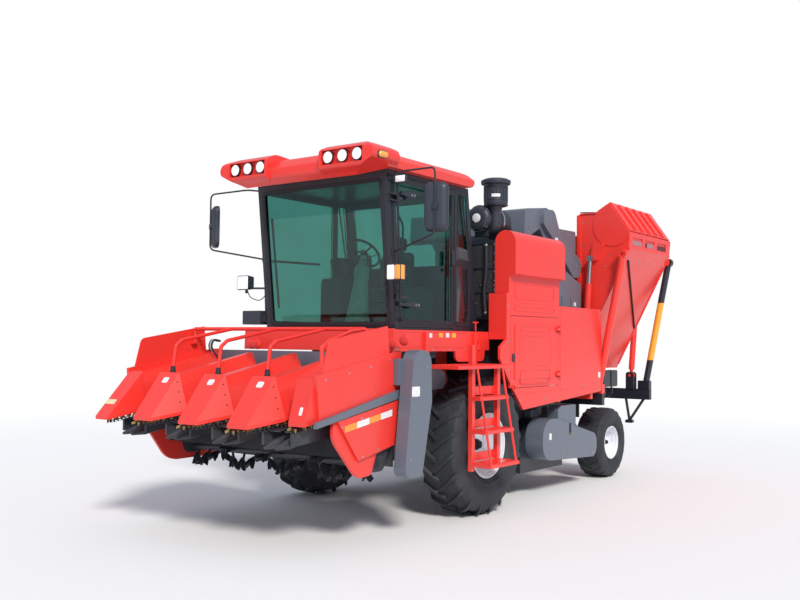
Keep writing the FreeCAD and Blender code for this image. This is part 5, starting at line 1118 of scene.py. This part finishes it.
def mirrors():
    """Mirror heads turned towards the driver, on bent arms with a clamp in front and a stay below."""
    arms, shells, glasses = Shape(), Shape(), Shape()
    for side, turn in ((1, 20), (-1, 34)):
        turn, inner = math.radians(turn), side * 0.880
        facing = Vector((side * math.sin(turn), -math.cos(turn), 0))
        middle = Vector((side * 1.482, -1.318, 3.045))
        head, clamp = plane(middle, Z.cross(facing), Z), middle + facing * 0.062
        arms.pipe([(inner, -1.235, 3.405), (side * 1.05, -1.262, 3.430), (clamp.x, clamp.y, 3.405),
                   (clamp.x, clamp.y, 2.79), (inner, -1.165, 2.670)], 0.0095, 0.06, 10, 5)
        arms.pad(plane(clamp, Z.cross(facing), Z), block(0.054, 0.068, 0.016),
                 [(-0.024, 0), (0.006, 0), (0.013, 0.006)])
        for y, z in ((-1.232, 3.402), (-1.163, 2.670)):
            arms.plate("x", oblong(y - 0.030, z - 0.034, y + 0.030, z + 0.034, 0.012), *across(side, 0.866, 0.880))
        outline = block(0.232, 0.462, 0.066)
        shells.pad(head, outline, [(0.050, 0.062), (0.047, 0.040), (0.036, 0.014), (0.018, 0.002), (0, 0),
                                   (-0.022, 0.001), (-0.024, 0.007)], 7)
        glasses.pad(head, outline, [(-0.0235, 0.012), (-0.0265, 0.014)], 7)
    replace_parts(arms.piece("mirror_arms", "black_frame"), "mirrors")
    shells.piece("mirror_shells", "black_plastic", smooth=50)
    glasses.piece("mirror_glasses", "mirror_glass")


def cab_inside():
    """Steering wheel, column in its cover, consoles, levers and grab bars."""
    low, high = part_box("steering_column")
    middle = (low[0] + high[0]) / 2 + 0.05
    hub, tilt = Vector((middle, -0.590, 2.74)), Vector((0, 0.70, 0.714)).normalized()
    wheel = Shape().ring(hub, tilt, 0.185, 0.014, 36, 8)
    wheel.dish(hub - tilt * 0.025, tilt, [(0, 0.030), (0.02, 0.045), (0.034, 0.042), (0.038, 0.025)], 20)
    for rim in spun(hub, tilt.cross(X), -X, 0.182, 3):
        wheel.pipe([hub, hub.lerp(rim, 0.5) - tilt * 0.008, rim], 0.010, 0.04, 8)
    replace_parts(wheel.piece("steering_wheel", "black_plastic"), "steering_column")
    column, foot = Shape(), Vector((middle, -0.700, 1.955))
    way = hub - foot
    size = way.length
    column.dish(foot, way, [(0, 0.125), (0.02, 0.130), (size * 0.40, 0.095), (size * 0.62, 0.075),
                            (size * 0.70, 0.085), (size * 0.80, 0.080), (size * 0.84, 0.045),
                            (size * 0.97, 0.030)], 24)
    column.pipe([hub - tilt * 0.09 + X * 0.04, hub - tilt * 0.07 + X * 0.14, hub - tilt * 0.03 + X * 0.19],
                0.006, 0.03, 8)
    column.piece("steering_cover", "film_wrap", smooth=60)
    trim, knobs = Shape(), Shape()
    trim.pad("z", oblong(-0.62, -0.55, -0.32, 0.10, 0.05),
             [(CAB_FLOOR, 0), (2.42, 0), (2.47, 0.01), (2.49, 0.03)], 5)
    trim.pad("z", oblong(0.34, -0.45, 0.52, 0.08, 0.04), [(CAB_FLOOR, 0), (2.36, 0), (2.39, 0.02)], 5)
    for foot in ((-0.52, -0.42, 2.48), (-0.44, -0.30, 2.48), (-0.52, -0.18, 2.48), (0.43, -0.34, 2.38)):
        tip = Vector(foot) + Vector((0.02, -0.05, 0.19))
        trim.rod(foot, tip, 0.007, 10)
        knobs.dish(tip - Z * 0.01, (0.1, -0.25, 1), [(0, 0.012), (0.01, 0.021), (0.03, 0.024),
                                                     (0.045, 0.018), (0.05, 0.006)], 16)
    trim.pad("y", oblong(-0.56, 2.40, -0.36, 2.80, 0.06), [(0.02, 0), (0.07, 0), (0.09, 0.02)], 5)
    for start, end in (((-0.835, -1.095, 3.12), (-0.835, -0.963, 2.15)),
                       ((-0.835, -1.12, 2.655), (-0.835, -0.30, 2.675))):
        trim.pipe([start, end], 0.013, 0.02, 12)
    trim.pipe([(0.835, -1.06, 2.55), (0.835, -0.99, 2.60), (0.835, -0.96, 2.95), (0.835, -1.05, 3.05)],
              0.012, 0.05, 12)
    trim.piece("cab_consoles", "inner_trim", smooth=45)
    knobs.piece("lever_knobs", "black_rubber", smooth=60)


# How the pads are filled: the cloth's settings, its steps, and how far a point may move.
FILL = {"quality": 5, "use_pressure": True, "uniform_pressure_force": 4.0, "tension_stiffness": 20,
        "compression_stiffness": 20}
FILL_STEPS, FILL_REACH, FILL_GRID = 20, 0.014, 0.012
MANY_FACES = 900


def cushion(name, axis, outline, levels):
    """A stuffed pad, soft at its edges, swollen by a short cloth simulation on a full run."""
    made = Shape().pad(axis, outline, levels, 5).object(name, 80)
    swell(made)
    soft = made.modifiers.new("Soft", "SUBSURF")
    soft.levels = soft.render_levels = 1 if len(made.data.polygons) > MANY_FACES else 2
    ride(made, "machine", "seat_fabric")


def swell(made):
    """Fills a pad from inside with pressure, and keeps each point within reach of where it began."""
    scene = bpy.context.scene
    grid = made.modifiers.new("Grid", "REMESH")
    grid.mode, grid.voxel_size = "VOXEL", FILL_GRID
    applied(made)
    start = [v.co.copy() for v in made.data.vertices]
    cloth = made.modifiers.new("Fill", "CLOTH").settings
    for key, value in FILL.items():
        setattr(cloth, key, value)
    cloth.effector_weights.gravity = 0.0
    for k in range(FILL_STEPS):
        scene.frame_set(k + 1)
    applied(made)
    scene.frame_set(1)
    for vertex, before in zip(made.data.vertices, start):
        step = vertex.co - before
        if step.length > FILL_REACH:
            vertex.co = before + step.normalized() * FILL_REACH
    made.data.polygons.foreach_set("use_smooth", [True] * len(made.data.polygons))


def seat():
    """The driver's seat: base with its arm rests, two cushions and a head rest."""
    base = Shape().pad("z", oblong(-0.17, -0.36, 0.17, 0.02, 0.03),
                       [(CAB_FLOOR, 0), (2.02, 0), (2.05, 0.03), (2.20, 0.03), (2.24, 0)])
    base.pad("y", oblong(-0.20, 2.28, 0.20, 2.80, 0.05), [(0.085, 0), (0.125, 0.004), (0.140, 0.03)])
    for side in (1, -1):
        base.pipe([(side * 0.235, 0.08, 2.40), (side * 0.235, 0.06, 2.52), (side * 0.235, -0.18, 2.53)],
                  0.013, 0.05)
    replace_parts(base.piece("seat_base", "black_plastic", bevel=0.004), "seat")
    cushion("seat_cushion", "z", oblong(-0.225, -0.415, 0.225, 0.045, 0.07),
            [(2.245, 0.02), (2.265, 0.004), (2.31, 0), (2.350, 0.012), (2.362, 0.05), (2.366, 0.12)])
    cushion("seat_back", "y", oblong(-0.215, 2.33, 0.215, 2.79, 0.09),
            [(0.092, 0.03), (0.085, 0.006), (0.045, 0), (0.005, 0.012), (-0.012, 0.05), (-0.018, 0.12)])
    cushion("head_rest", "y", oblong(-0.125, 2.80, 0.125, 2.975, 0.06),
            [(0.105, 0.02), (0.095, 0.004), (0.06, 0), (0.032, 0.012), (0.022, 0.04)])


# ------------------------------------------------------------ body
PANEL, DOOR, SKIRT = 1.229, 1.236, 0.999


def panel_side(name, side):
    """Pressings and latch of a service door, and the seams, blank plate and bolts of its panel."""
    door, seams, x = Shape(), Shape(), X * side
    for outline, inset, proud in ((oblong(0.72, 1.915, 1.42, 1.985, 0.03), 0.012, 0.0065),
                                  (oblong(0.72, 1.33, 1.42, 1.49, 0.03), 0.012, 0.0065),
                                  (oblong(0.70, 1.53, 1.44, 1.88, 0.05), 0.010, 0.0045)):
        door.border("x", outline, inset, *across(side, DOOR, DOOR + proud))
    door.piece(f"door_pressings_{name}", "red_paint", f"service_{name}", bevel=0.0025)
    levels = [(side * 1.228, 0), (side * 1.240, 0), (side * 1.243, 0.004)][::side]
    latch = Shape().pad("x", oblong(0.545, 1.585, 0.595, 1.675, 0.010), levels)
    latch.dish((side * 1.240, 0.570, 1.628), x, [(0, 0.014), (0.006, 0.013), (0.008, 0.008)], 14)
    latch.piece(f"door_latch_{name}", "black_plastic", f"service_{name}")
    for outline in (oblong(0.60, 2.145, 1.55, 2.205, 0.028), oblong(0.60, 2.275, 1.53, 2.46, 0.02)):
        seams.border("x", outline, 0.010, *across(side, PANEL, PANEL + 0.0055))
    seam = across(side, PANEL, PANEL + 0.0035)
    for y in (1.70, 2.855):
        seams.plate("x", oblong(y - 0.008, 1.22, y + 0.002, 2.19, 0.001), *seam)
    seams.plate("x", oblong(0.70, 1.232, 2.84, 1.240, 0.001), *seam)
    seams.piece(f"panel_seams_{name}", "red_paint", bevel=0.002)
    plate = Shape().plate("x", oblong(2.76, 1.36, 2.82, 1.43, 0.006), *seam)
    plate.piece(f"panel_label_{name}", "white_label")
    places = ((0.46, 2.20), (0.46, 1.80), (0.46, 1.50), (1.78, 2.13), (2.78, 2.13), (1.78, 1.28), (2.30, 1.28),
              (2.78, 1.20), (0.72, 1.16), (1.30, 1.16))
    spots = [(x * (PANEL + 0.002) + Vector((0, y, z)), x) for y, z in places]
    bolts(f"panel_bolts_{name}", spots, "rod_chrome", SMALL_BOLT)


def body_fittings():
    """Both panels' fittings, the hand loops, the fascia's blank plates and the skirt's pressings."""
    for name, side in SIDES:
        panel_side(name, side)
    ring = Shape()
    for at in ((1.008, 0.188, 1.784), (1.236, 0.577, 1.30)):
        ring.ring(at, X, 0.030, 0.0065, 24, 8)
    ring.pipe([(0.95, 0.235, 1.88), (0.95, 0.235, 2.01)], 0.008)
    ring.pipe([(0.95, 0.185, 2.01), (0.95, 0.285, 2.01)], 0.009)
    ring.piece("hand_loops", "red_paint")
    for name, finish, places, wide, high in (
            ("skirt_white_plates", "white_label", ((-0.389, 1.865), (-0.70, 1.86)), 0.062, 0.045),
            ("skirt_yellow_plates", "post_yellow", ((-0.509, 1.865), (-0.27, 1.865)), 0.075, 0.048)):
        plaques(Shape(), beside("cab_deck", places), wide, high, 0.006).piece(name, finish)
    shape = Shape()
    for side, y in ((1, 0.22), (-1, 0.63)):
        shape.dish((side * (SKIRT - 0.001), y, 1.731), X * side,
                   [(0, 0.030), (0.010, 0.028), (0.014, 0.018), (0.015, 0)], 20)
        shape.border("x", oblong(-1.28, 1.735, -0.02, 1.895, 0.02), 0.008, *across(side, SKIRT, SKIRT + 0.004))
    shape.piece("skirt_pressings", "red_paint", bevel=0.002)
    web = Shape().plate("x", oblong(1.20, 0.80, 2.00, 1.15, 0.02), 0.800, 0.815)
    web.piece("frame_web", "black_frame")
    support = Shape().pad("x", oblong(1.57, 0.80, 1.78, 0.985, 0.01), [(0.815, 0), (0.905, 0), (0.910, 0.005)])
    support.piece("case_support", "grey_paint")
    spots = beside("cab_deck", [(y, 1.72) for y in (-1.25, -0.95, -0.65, -0.35, -0.05)])
    bolts("skirt_bolts", both_sides(spots), "rod_chrome", SMALL_BOLT)


def air_cleaner():
    """The canister with ribs, bands and its end disc, and the pre-cleaner bowl on its stack."""
    start = Vector((0.76, 0.545, 3.20))
    profile = [(0, 0.075), (0.004, 0.100), (0.018, 0.135), (0.035, 0.146), (0.060, 0.148)]
    for k in range(9):
        at = 0.085 + k * 0.050
        profile += [(at, 0.143), (at + 0.012, 0.150), (at + 0.030, 0.150), (at + 0.042, 0.143)]
    profile += [(0.535, 0.146), (0.545, 0.120), (0.550, 0.0)]
    canister = Shape().dish(start, Y, profile, 40)
    for foot in (0.655, 0.965):
        canister.plate("y", oblong(0.67, 3.00, 0.85, 3.08, 0.01), foot, foot + 0.05)
    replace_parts(canister.piece("air_cleaner_body", "black_plastic", smooth=40), "air_filter")
    disc = Shape().dish(start + Y * 0.002, -Y, [(0, 0.052), (0.012, 0.050), (0.016, 0.040), (0.017, 0)], 28)
    disc.piece("air_cleaner_disc", "white_label")
    bands = Shape()
    for at in (0.050, 0.36):
        bands.dish(start + Y * at, Y, [(0, 0.149), (0.0, 0.154), (0.022, 0.154), (0.022, 0.149)], 40)
    for spot in spun(start, (X + Z).normalized(), (Z - X).normalized(), 0.140, 4):
        bands.rod(spot, spot + Y * 0.07, 0.009, 8)
    bands.piece("air_cleaner_bands", "rod_chrome")
    stack, rings, label, centre = Shape(), Shape(), Shape(), Vector((0.925, 0.69, 3.16))
    stack.dish(centre, Z, [(0, 0.060), (0.13, 0.062), (0.15, 0.075), (0.17, 0.078), (0.175, 0.125),
                           (0.20, 0.135), (0.235, 0.137), (0.25, 0.133), (0.40, 0.133),
                           (0.415, 0.140), (0.425, 0.165), (0.445, 0.170), (0.465, 0.168), (0.485, 0.130),
                           (0.493, 0.06), (0.494, 0)], 40)
    stack.pipe([(0.925, 0.69, 3.20), (0.915, 0.70, 3.08), (0.82, 0.74, 3.06)], 0.062, 0.08, 20, 8)
    stack.piece("pre_cleaner", "black_plastic", smooth=40)
    for up in (0.185, 0.24, 0.385):
        rings.ring(centre + Z * up, Z, 0.136, 0.005, 40, 6)
    for foot in spun(centre + Z * 0.25, X, Y, 0.1345, 20):
        rings.rod(foot, foot + Z * 0.15, 0.004, 6)
    rings.piece("pre_cleaner_ribs", "black_frame")
    for k in range(5):
        turn = math.radians(-75 + k * 8)
        out = Vector((math.cos(turn), math.sin(turn), 0))
        label.plate(plane(centre + out * 0.1375 + Z * 0.285, Z.cross(out), Z), block(0.021, 0.035, 0.002), 0, 0.002)
    label.piece("pre_cleaner_label", "white_label")


def engine_bay():
    """Hoses with their clamps, the screen in its frame, its bolts and the cooler's slats."""
    hoses, clamps, slats = Shape(), Shape(), Shape()
    runs = [([(0.80, 1.06, 3.20), (0.80, 1.16, 3.18), (0.80, 1.20, 2.98), (0.72, 1.20, 2.93)], 0.052),
            ([(0.62, 0.56, 3.04), (0.66, 0.46, 2.96), (0.74, 0.45, 2.55), (0.78, 0.47, 2.20)], 0.026),
            ([(0.94, 0.46, 2.90), (0.96, 0.44, 2.62), (0.92, 0.45, 2.34), (0.94, 0.46, 2.10)], 0.018),
            ([(0.50, 0.48, 2.86), (0.56, 0.45, 2.70), (0.52, 0.45, 2.40), (0.60, 0.47, 2.15)], 0.022)]
    for points, radius in runs:
        hoses.pipe(points, radius, 0.10, 16, 8)
        ring = [(0, radius + 0.001), (0, radius + 0.005), (0.014, radius + 0.005), (0.014, radius + 0.001)]
        for end, way in ((points[0], points[1]), (points[-1], points[-2])):
            way = (Vector(way) - Vector(end)).normalized()
            clamps.dish(Vector(end) + way * 0.02, way, ring, 18)
    hoses.piece("engine_hoses", "black_rubber", smooth=60)
    clamps.piece("hose_clamps", "zinc")
    screen = Shape().plate("y", oblong(0.33, 2.06, 1.04, 2.90, 0.03), 0.488, 0.499)
    screen.piece("engine_screen", "screen")
    trim = Shape().border("y", oblong(0.325, 2.052, 1.045, 2.915, 0.03), 0.030, 0.478, 0.500)
    trim.border("x", oblong(0.51, 2.66, 1.59, 2.91, 0.03), 0.022, 1.046, 1.056)
    for z in (2.35, 2.62):
        trim.rod((0.33, 0.484, z), (1.04, 0.484, z), 0.010, 10)
    trim.piece("engine_screen_frame", "black_frame", bevel=0.003)
    spots = line_of((0.34, 0.478, 2.43), (1.03, 0.478, 2.43), 9, -Y)
    spots += line_of((1.034, 0.478, 2.08), (1.034, 0.478, 2.88), 9, -Y)
    bolts("engine_screen_bolts", spots, "rod_chrome", 0.0065)
    for k in range(16):
        y = 0.56 + k * 0.065
        slats.plate("y", oblong(0.36, 2.921, 1.0, 2.936, 0.002), y, y + 0.012)
    slats.piece("cooler_slats", "black_frame")


def elevator_fittings():
    """Bolts, ribs and blank labels of the distributor and the husker."""
    spots = beside("distributor", (
        (1.60, 3.22), (1.60, 3.14), (1.72, 3.30), (1.90, 3.36), (2.05, 3.36), (2.12, 3.22), (2.28, 3.20),
                                   (2.20, 3.02),
        (2.36, 2.98), (2.50, 2.92), (2.62, 3.05), (2.72, 2.94), (2.80, 2.80), (2.55, 3.24), (2.70, 3.20)))
    spots += beside("husker", ((1.90, 2.36), (2.20, 2.66), (2.45, 2.42), (2.75, 2.42), (2.75, 2.20), (2.75, 1.95),
                               (1.85, 2.10), (1.85, 1.85)))
    bolts("crop_path_bolts", spots, "zinc")
    ribs = Shape()
    for probe, outline, proud in (((2.05, 2.2), oblong(2.038, 1.62, 2.062, 2.40, 0.004), 0.010),
                                  ((2.30, 2.2), oblong(2.288, 1.62, 2.312, 2.40, 0.004), 0.010),
                                  ((2.55, 2.2), oblong(2.538, 1.62, 2.562, 2.40, 0.004), 0.010),
                                  ((2.30, 1.9), oblong(1.86, 1.90, 2.80, 1.925, 0.004), 0.012)):
        face = beside("husker", [probe])[0][0].x
        ribs.plate("x", outline, face - 0.001, face + proud)
    ribs.piece("husker_ribs", "grey_paint", bevel=0.003)
    labels = plaques(Shape(), beside("distributor", [(2.22, 3.10)]), 0.07, 0.05, 0.006)
    plaques(labels, beside("husker", [(2.66, 2.30)]), 0.06, 0.05, 0.006)
    labels.piece("crop_path_labels", "white_label")


# ------------------------------------------------------------ ear tank
def tank_fittings():
    """The tank's upper strip with its cells painted as light through the grid and as red paint in shade, the strap
    on its slope, its edge ribs, bars and fasteners.
    """
    slope = plane((1.437, 3.60, 2.80), Y, (0.4479, 0, 0.8941))
    # Painted light and shade: the pale cells stand for light through the strip's grid, the dark red cells for red
    # paint in shadow.
    for finish, cells in (("dull_panel", ((3.11, 3.46), (3.63, 3.90))), ("dark_red", ((3.52, 3.61), (3.96, 4.31)))):
        cell = Shape()
        for low, high in cells:
            cell.plate("x", oblong(low, 3.085, high, 3.145, 0.004), 1.5405, 1.5440)
        cell.piece("tank_" + finish, finish, "tank")
    red = Shape()
    for low, high in ((3.09, 3.47), (3.51, 3.91), (3.95, 4.34)):
        red.border("x", oblong(low, 3.07, high, 3.160, 0.006), 0.009, 1.5410, 1.5470)
    red.pipe([(1.536, 3.01, 3.032), (1.536, 4.44, 3.032)], 0.015)
    red.dish((1.540, 3.02, 3.032), -Y, [(0, 0.026), (0.016, 0.026), (0.020, 0.018), (0.022, 0)], 18)
    red.pipe([(1.548, 3.10 + 0.075 * k, 3.205 + 0.022 * (k % 2)) for k in range(17)], 0.007, 0.012, 8, 2)
    for middle in (-0.57, 0.815):
        red.pad(slope, oblong(middle - 0.012, -1.45, middle + 0.012, 0.16, 0.004),
                [(-0.002, 0), (0.008, 0), (0.010, 0.003)])
    red.piece("tank_ribs", "red_paint", "tank", bevel=0.002)
    outline = [(-0.50, 0.10, 0.01), (-0.475, 0.10, 0.01), (0.79, -0.875, 0.01), (0.76, -0.875, 0.01)]
    strap = Shape().pad(slope, outline, [(0.002, 0), (0.016, 0), (0.019, 0.004)])
    strap.piece("tank_strap", "black_rubber", "tank")
    places = ((0.90, 3.40), (0.90, 3.10), (0.90, 2.80), (0.90, 2.50), (1.00, 2.30), (1.20, 2.80), (1.30, 2.95))
    spots = [touch("ear_tank", (x, 0, z), Y) for x, z in places]
    spots += beside("ear_tank", [(y, 2.90) for y in (3.15, 3.45, 3.75, 4.05, 4.35)])
    bolts("tank_bolts", spots, "rod_chrome", 0.008, "tank")
    edge = Shape()
    for y in (2.992, 4.448):
        edge.pipe([(0.86, y, 3.515), (1.09, y, 3.515)], 0.010)
    edge.piece("tank_edge_bars", "red_paint", "tank")
    bar = Shape().pipe([(0.86, 3.02, 3.54), (0.86, 3.5, 3.60), (0.86, 4.40, 3.54)], 0.008)
    bar.piece("tank_cover_bar", "black_frame", "tank")


def post_fittings():
    """Collars of the rear post, valve boxes with their hoses, and the prop behind."""
    def post_middle(z):
        """The rear post's axis at a height."""
        outer, inner = (touch("hinge_post_rear", (x, 4.515, z), (-x, 0, 0))[0] for x in (3, -3))
        return (outer + inner) / 2

    collars, boxes, prop = Shape(), Shape(), Shape()
    top, foot = post_middle(2.383), post_middle(1.56)
    way = (top - foot).normalized()
    collars.dish(top - way * 0.03, way, [(0, 0.036), (0.004, 0.040), (0.055, 0.040), (0.060, 0.030)], 20)
    collars.dish(foot - way * 0.02, way, [(0, 0.038), (0.004, 0.042), (0.070, 0.042), (0.076, 0.034)], 20)
    collars.piece("post_collars", "black_frame")
    for y in (3.12, 3.36):
        boxes.pad("x", oblong(y, 1.22, y + 0.20, 1.44, 0.02), [(1.05, 0), (1.14, 0), (1.15, 0.008)])
    boxes.pipe([(1.10, 3.22, 1.23), (1.12, 3.24, 1.12), (1.00, 3.30, 1.04), (0.70, 3.40, 1.02)], 0.014)
    boxes.pipe([(1.10, 3.46, 1.23), (1.10, 3.50, 1.14), (0.95, 3.60, 1.06), (0.60, 3.62, 1.03)], 0.014)
    boxes.piece("valve_boxes", "black_frame", bevel=0.003)
    prop.pipe([(1.14, 4.52, 1.02), (0.92, 4.53, 0.70)], 0.020)
    prop.pipe([(0.86, 4.52, 1.02), (0.91, 4.53, 0.70)], 0.020)
    prop.plate("y", oblong(0.86, 0.655, 0.97, 0.70, 0.012), 4.49, 4.555)
    prop.piece("rear_prop", "black_frame", bevel=0.003)


# ------------------------------------------------------------ running gear and small parts
def case_fittings():
    """Blank plate, slot, stud and bolts of the lower drive case."""
    plate = plaques(Shape(), beside("drive_case", [(1.49, 0.70)]), 0.055, 0.075, 0.006)
    plate.piece("case_label", "white_label")
    slot = Shape().plate("x", oblong(1.98, 0.70, 2.03, 0.83, 0.022), 1.2085, 1.2125)
    slot.piece("case_slot", "black_rubber")
    bolts("case_bolts", beside("drive_case", ((1.79, 0.74), (1.79, 0.53), (2.62, 0.42))), "zinc", 0.010)
    stud = Shape().dish((1.212, 2.01, 0.70), X, [(0, 0.014), (0.010, 0.013), (0.012, 0.006)], 16)
    stud.piece("case_brass_stud", "chain_brass")
    upper = beside("drive_case", ((1.87, 0.90), (2.02, 0.90), (2.17, 0.90)))
    bolts("case_upper_bolts", upper, "rod_chrome", SMALL_BOLT)


def ladder_treads():
    """Raised lips, riser plates and studs on the three treads and the platform."""
    lips, spots, ladder = Shape(), [], frame_body("ladder")
    for k, out in enumerate((1.604, 1.539, 1.474)):
        z = 0.592 + k * 0.328
        lips.border("z", oblong(1.338, -0.504, out - 0.004, 0.046, 0.01), 0.010, z - 0.001, z + 0.006)
        lips.plate("x", oblong(-0.456, z + 0.016, -0.014, z + 0.102, 0.004), 1.336, 1.343)
        for x in (1.375, out - 0.045):
            spots += line_of((x, -0.46, z), (x, 0.005, z), 8, Z)
    lips.border("z", oblong(1.010, -0.845, 1.425, 0.205, 0.01), 0.012, 1.561, 1.569)
    for x in (1.06, 1.16, 1.26, 1.37):
        spots += line_of((x, -0.79, 1.562), (x, 0.15, 1.562), 12, Z)
    lips.piece("tread_lips", "red_paint", ladder, bevel=0.002)
    bolts("tread_studs", spots, "red_paint", 0.010, ladder)


def axle_fittings():
    """Brake and steering hoses of the axles, and the header's oil pipes."""
    hoses = Shape()
    for side in (1, -1):
        hoses.pipe([(side * 0.42, -0.12, 0.98), (side * 0.56, -0.19, 0.93), (side * 0.72, -0.20, 0.86),
                    (side * 0.78, -0.12, 0.80)], 0.009, 0.05)
        hoses.pipe([(side * 0.30, 3.46, 1.02), (side * 0.45, 3.44, 0.90), (side * 0.55, 3.44, 0.74),
                    (side * 0.62, 3.47, 0.60)], 0.008, 0.05)
        hoses.pipe([(side * 0.33, -0.62, 1.02), (side * 0.42, -0.70, 1.08), (side * 0.46, -0.60, 0.93)],
                   0.010, 0.05)
    hoses.piece("oil_hoses", "black_rubber", smooth=60)
    for finish, runs in (("black_rubber", (0.0, 0.035)), ("film_wrap", (0.018,))):
        loom = Shape()
        for shift in runs:
            loom.pipe([(-1.215 + shift, -1.50, 1.78), (-1.23 + shift, -1.58, 1.80),
                       (-1.19 + shift, -1.66, 1.72), (-1.12 + shift, -1.62, 1.60),
                       (-1.05 + shift, -1.50, 1.50), (-0.98 + shift, -1.42, 1.38)],
                      0.011, 0.06, 10, 6)
        loom.piece("header_hoses_" + finish, finish, "header", smooth=60)


# ------------------------------------------------------------ operators
class Build:
    """What every operator here shares."""
    bl_options = {"REGISTER", "UNDO"}

    def execute(self, context):
        self.build(context.scene)
        return {"FINISHED"}


class HARVESTER_OT_finishes(Build, bpy.types.Operator):
    """Make the finishes and give each carried-over part its own"""
    bl_idname = "harvester.finishes"
    bl_label = "Finishes"

    def build(self, scene):
        finishes(scene.harvester_paint)
        finish_nodes()
        GRAPHS.update(bolts=bolt_graph(), around=around_graph(), chain=chain_graph())


class HARVESTER_OT_wheels(Build, bpy.types.Operator):
    """Build the four tyres and rims"""
    bl_idname = "harvester.wheels"
    bl_label = "Wheels"

    def build(self, scene):
        sizes = scene.harvester_sizes
        for hand, side in SIDES:
            for place, wheel, lugs in (("front", FRONT_WHEEL, sizes.front_lugs),
                                       ("rear", REAR_WHEEL, sizes.rear_lugs)):
                make_tyre(place, hand, side, wheel, lugs)
                make_rim(place, hand, side, wheel)


class HARVESTER_OT_header(Build, bpy.types.Operator):
    """Add the header's chains, bolts, plates and tape"""
    bl_idname = "harvester.header"
    bl_label = "Header"

    def build(self, scene):
        header_bolts()
        header_plates()
        header_chains(scene.harvester_sizes.link)
        chopper_knives()


class HARVESTER_OT_cab(Build, bpy.types.Operator):
    """Fit out the cab, its roof, lamps, mirrors, door and seat"""
    bl_idname = "harvester.cab"
    bl_label = "Cab"

    def build(self, scene):
        cab_seals()
        door_fittings()
        roof_fittings()
        pillar_lamps()
        mirrors()
        cab_inside()
        seat()


class HARVESTER_OT_body(Build, bpy.types.Operator):
    """Add the body's pressings, latches, plates and fasteners"""
    bl_idname = "harvester.body"
    bl_label = "Body"

    def build(self, scene):
        body_fittings()
        case_fittings()
        ladder_treads()
        axle_fittings()


class HARVESTER_OT_engine(Build, bpy.types.Operator):
    """Build the air cleaner, hoses and screens"""
    bl_idname = "harvester.engine"
    bl_label = "Engine bay"

    def build(self, scene):
        air_cleaner()
        engine_bay()
        elevator_fittings()


class HARVESTER_OT_tank(Build, bpy.types.Operator):
    """Add the ear tank's strip of painted light and shade, strap, bars and posts"""
    bl_idname = "harvester.tank"
    bl_label = "Ear tank"

    def build(self, scene):
        tank_fittings()
        post_fittings()


class HARVESTER_OT_stage(Build, bpy.types.Operator):
    """Place the camera, the light and the ground"""
    bl_idname = "harvester.stage"
    bl_label = "Stage"

    def build(self, scene):
        set_camera()
        set_world()
        set_sun()
        floor = Shape().box((-GROUND, -GROUND, -0.02), (GROUND, GROUND, 0)).object("floor")
        floor.data.materials.append(backdrop_material())
        scene.view_settings.view_transform = "Standard"
        scene.render.engine = "CYCLES"
        scene.render.resolution_x, scene.render.resolution_y = 800, 600


STEPS = [HARVESTER_OT_finishes, HARVESTER_OT_wheels, HARVESTER_OT_header,
         HARVESTER_OT_cab, HARVESTER_OT_body, HARVESTER_OT_engine, HARVESTER_OT_tank, HARVESTER_OT_stage]


class HARVESTER_PT_panel(bpy.types.Panel):
    """Everything the harvester is made of."""
    bl_idname = "HARVESTER_PT_panel"
    bl_label = "Corn harvester"
    bl_space_type = "VIEW_3D"
    bl_region_type = "UI"
    bl_category = "Harvester"

    def draw(self, context):
        for group in (context.scene.harvester_paint, context.scene.harvester_sizes):
            for name in group.__annotations__:
                self.layout.prop(group, name)
        for step in STEPS:
            self.layout.operator(step.bl_idname)


CLASSES = [HarvesterPaint, HarvesterSizes, *STEPS, HARVESTER_PT_panel]


def register():
    for kind in CLASSES:
        bpy.utils.register_class(kind)
    bpy.types.Scene.harvester_paint = PointerProperty(type=HarvesterPaint)
    bpy.types.Scene.harvester_sizes = PointerProperty(type=HarvesterSizes)


def unregister():
    del bpy.types.Scene.harvester_sizes
    del bpy.types.Scene.harvester_paint
    for kind in reversed(CLASSES):
        bpy.utils.unregister_class(kind)


def main():
    register()
    for step in STEPS:
        group, name = step.bl_idname.split(".")
        getattr(getattr(bpy.ops, group), name)()


if __name__ == "__main__":
    main()
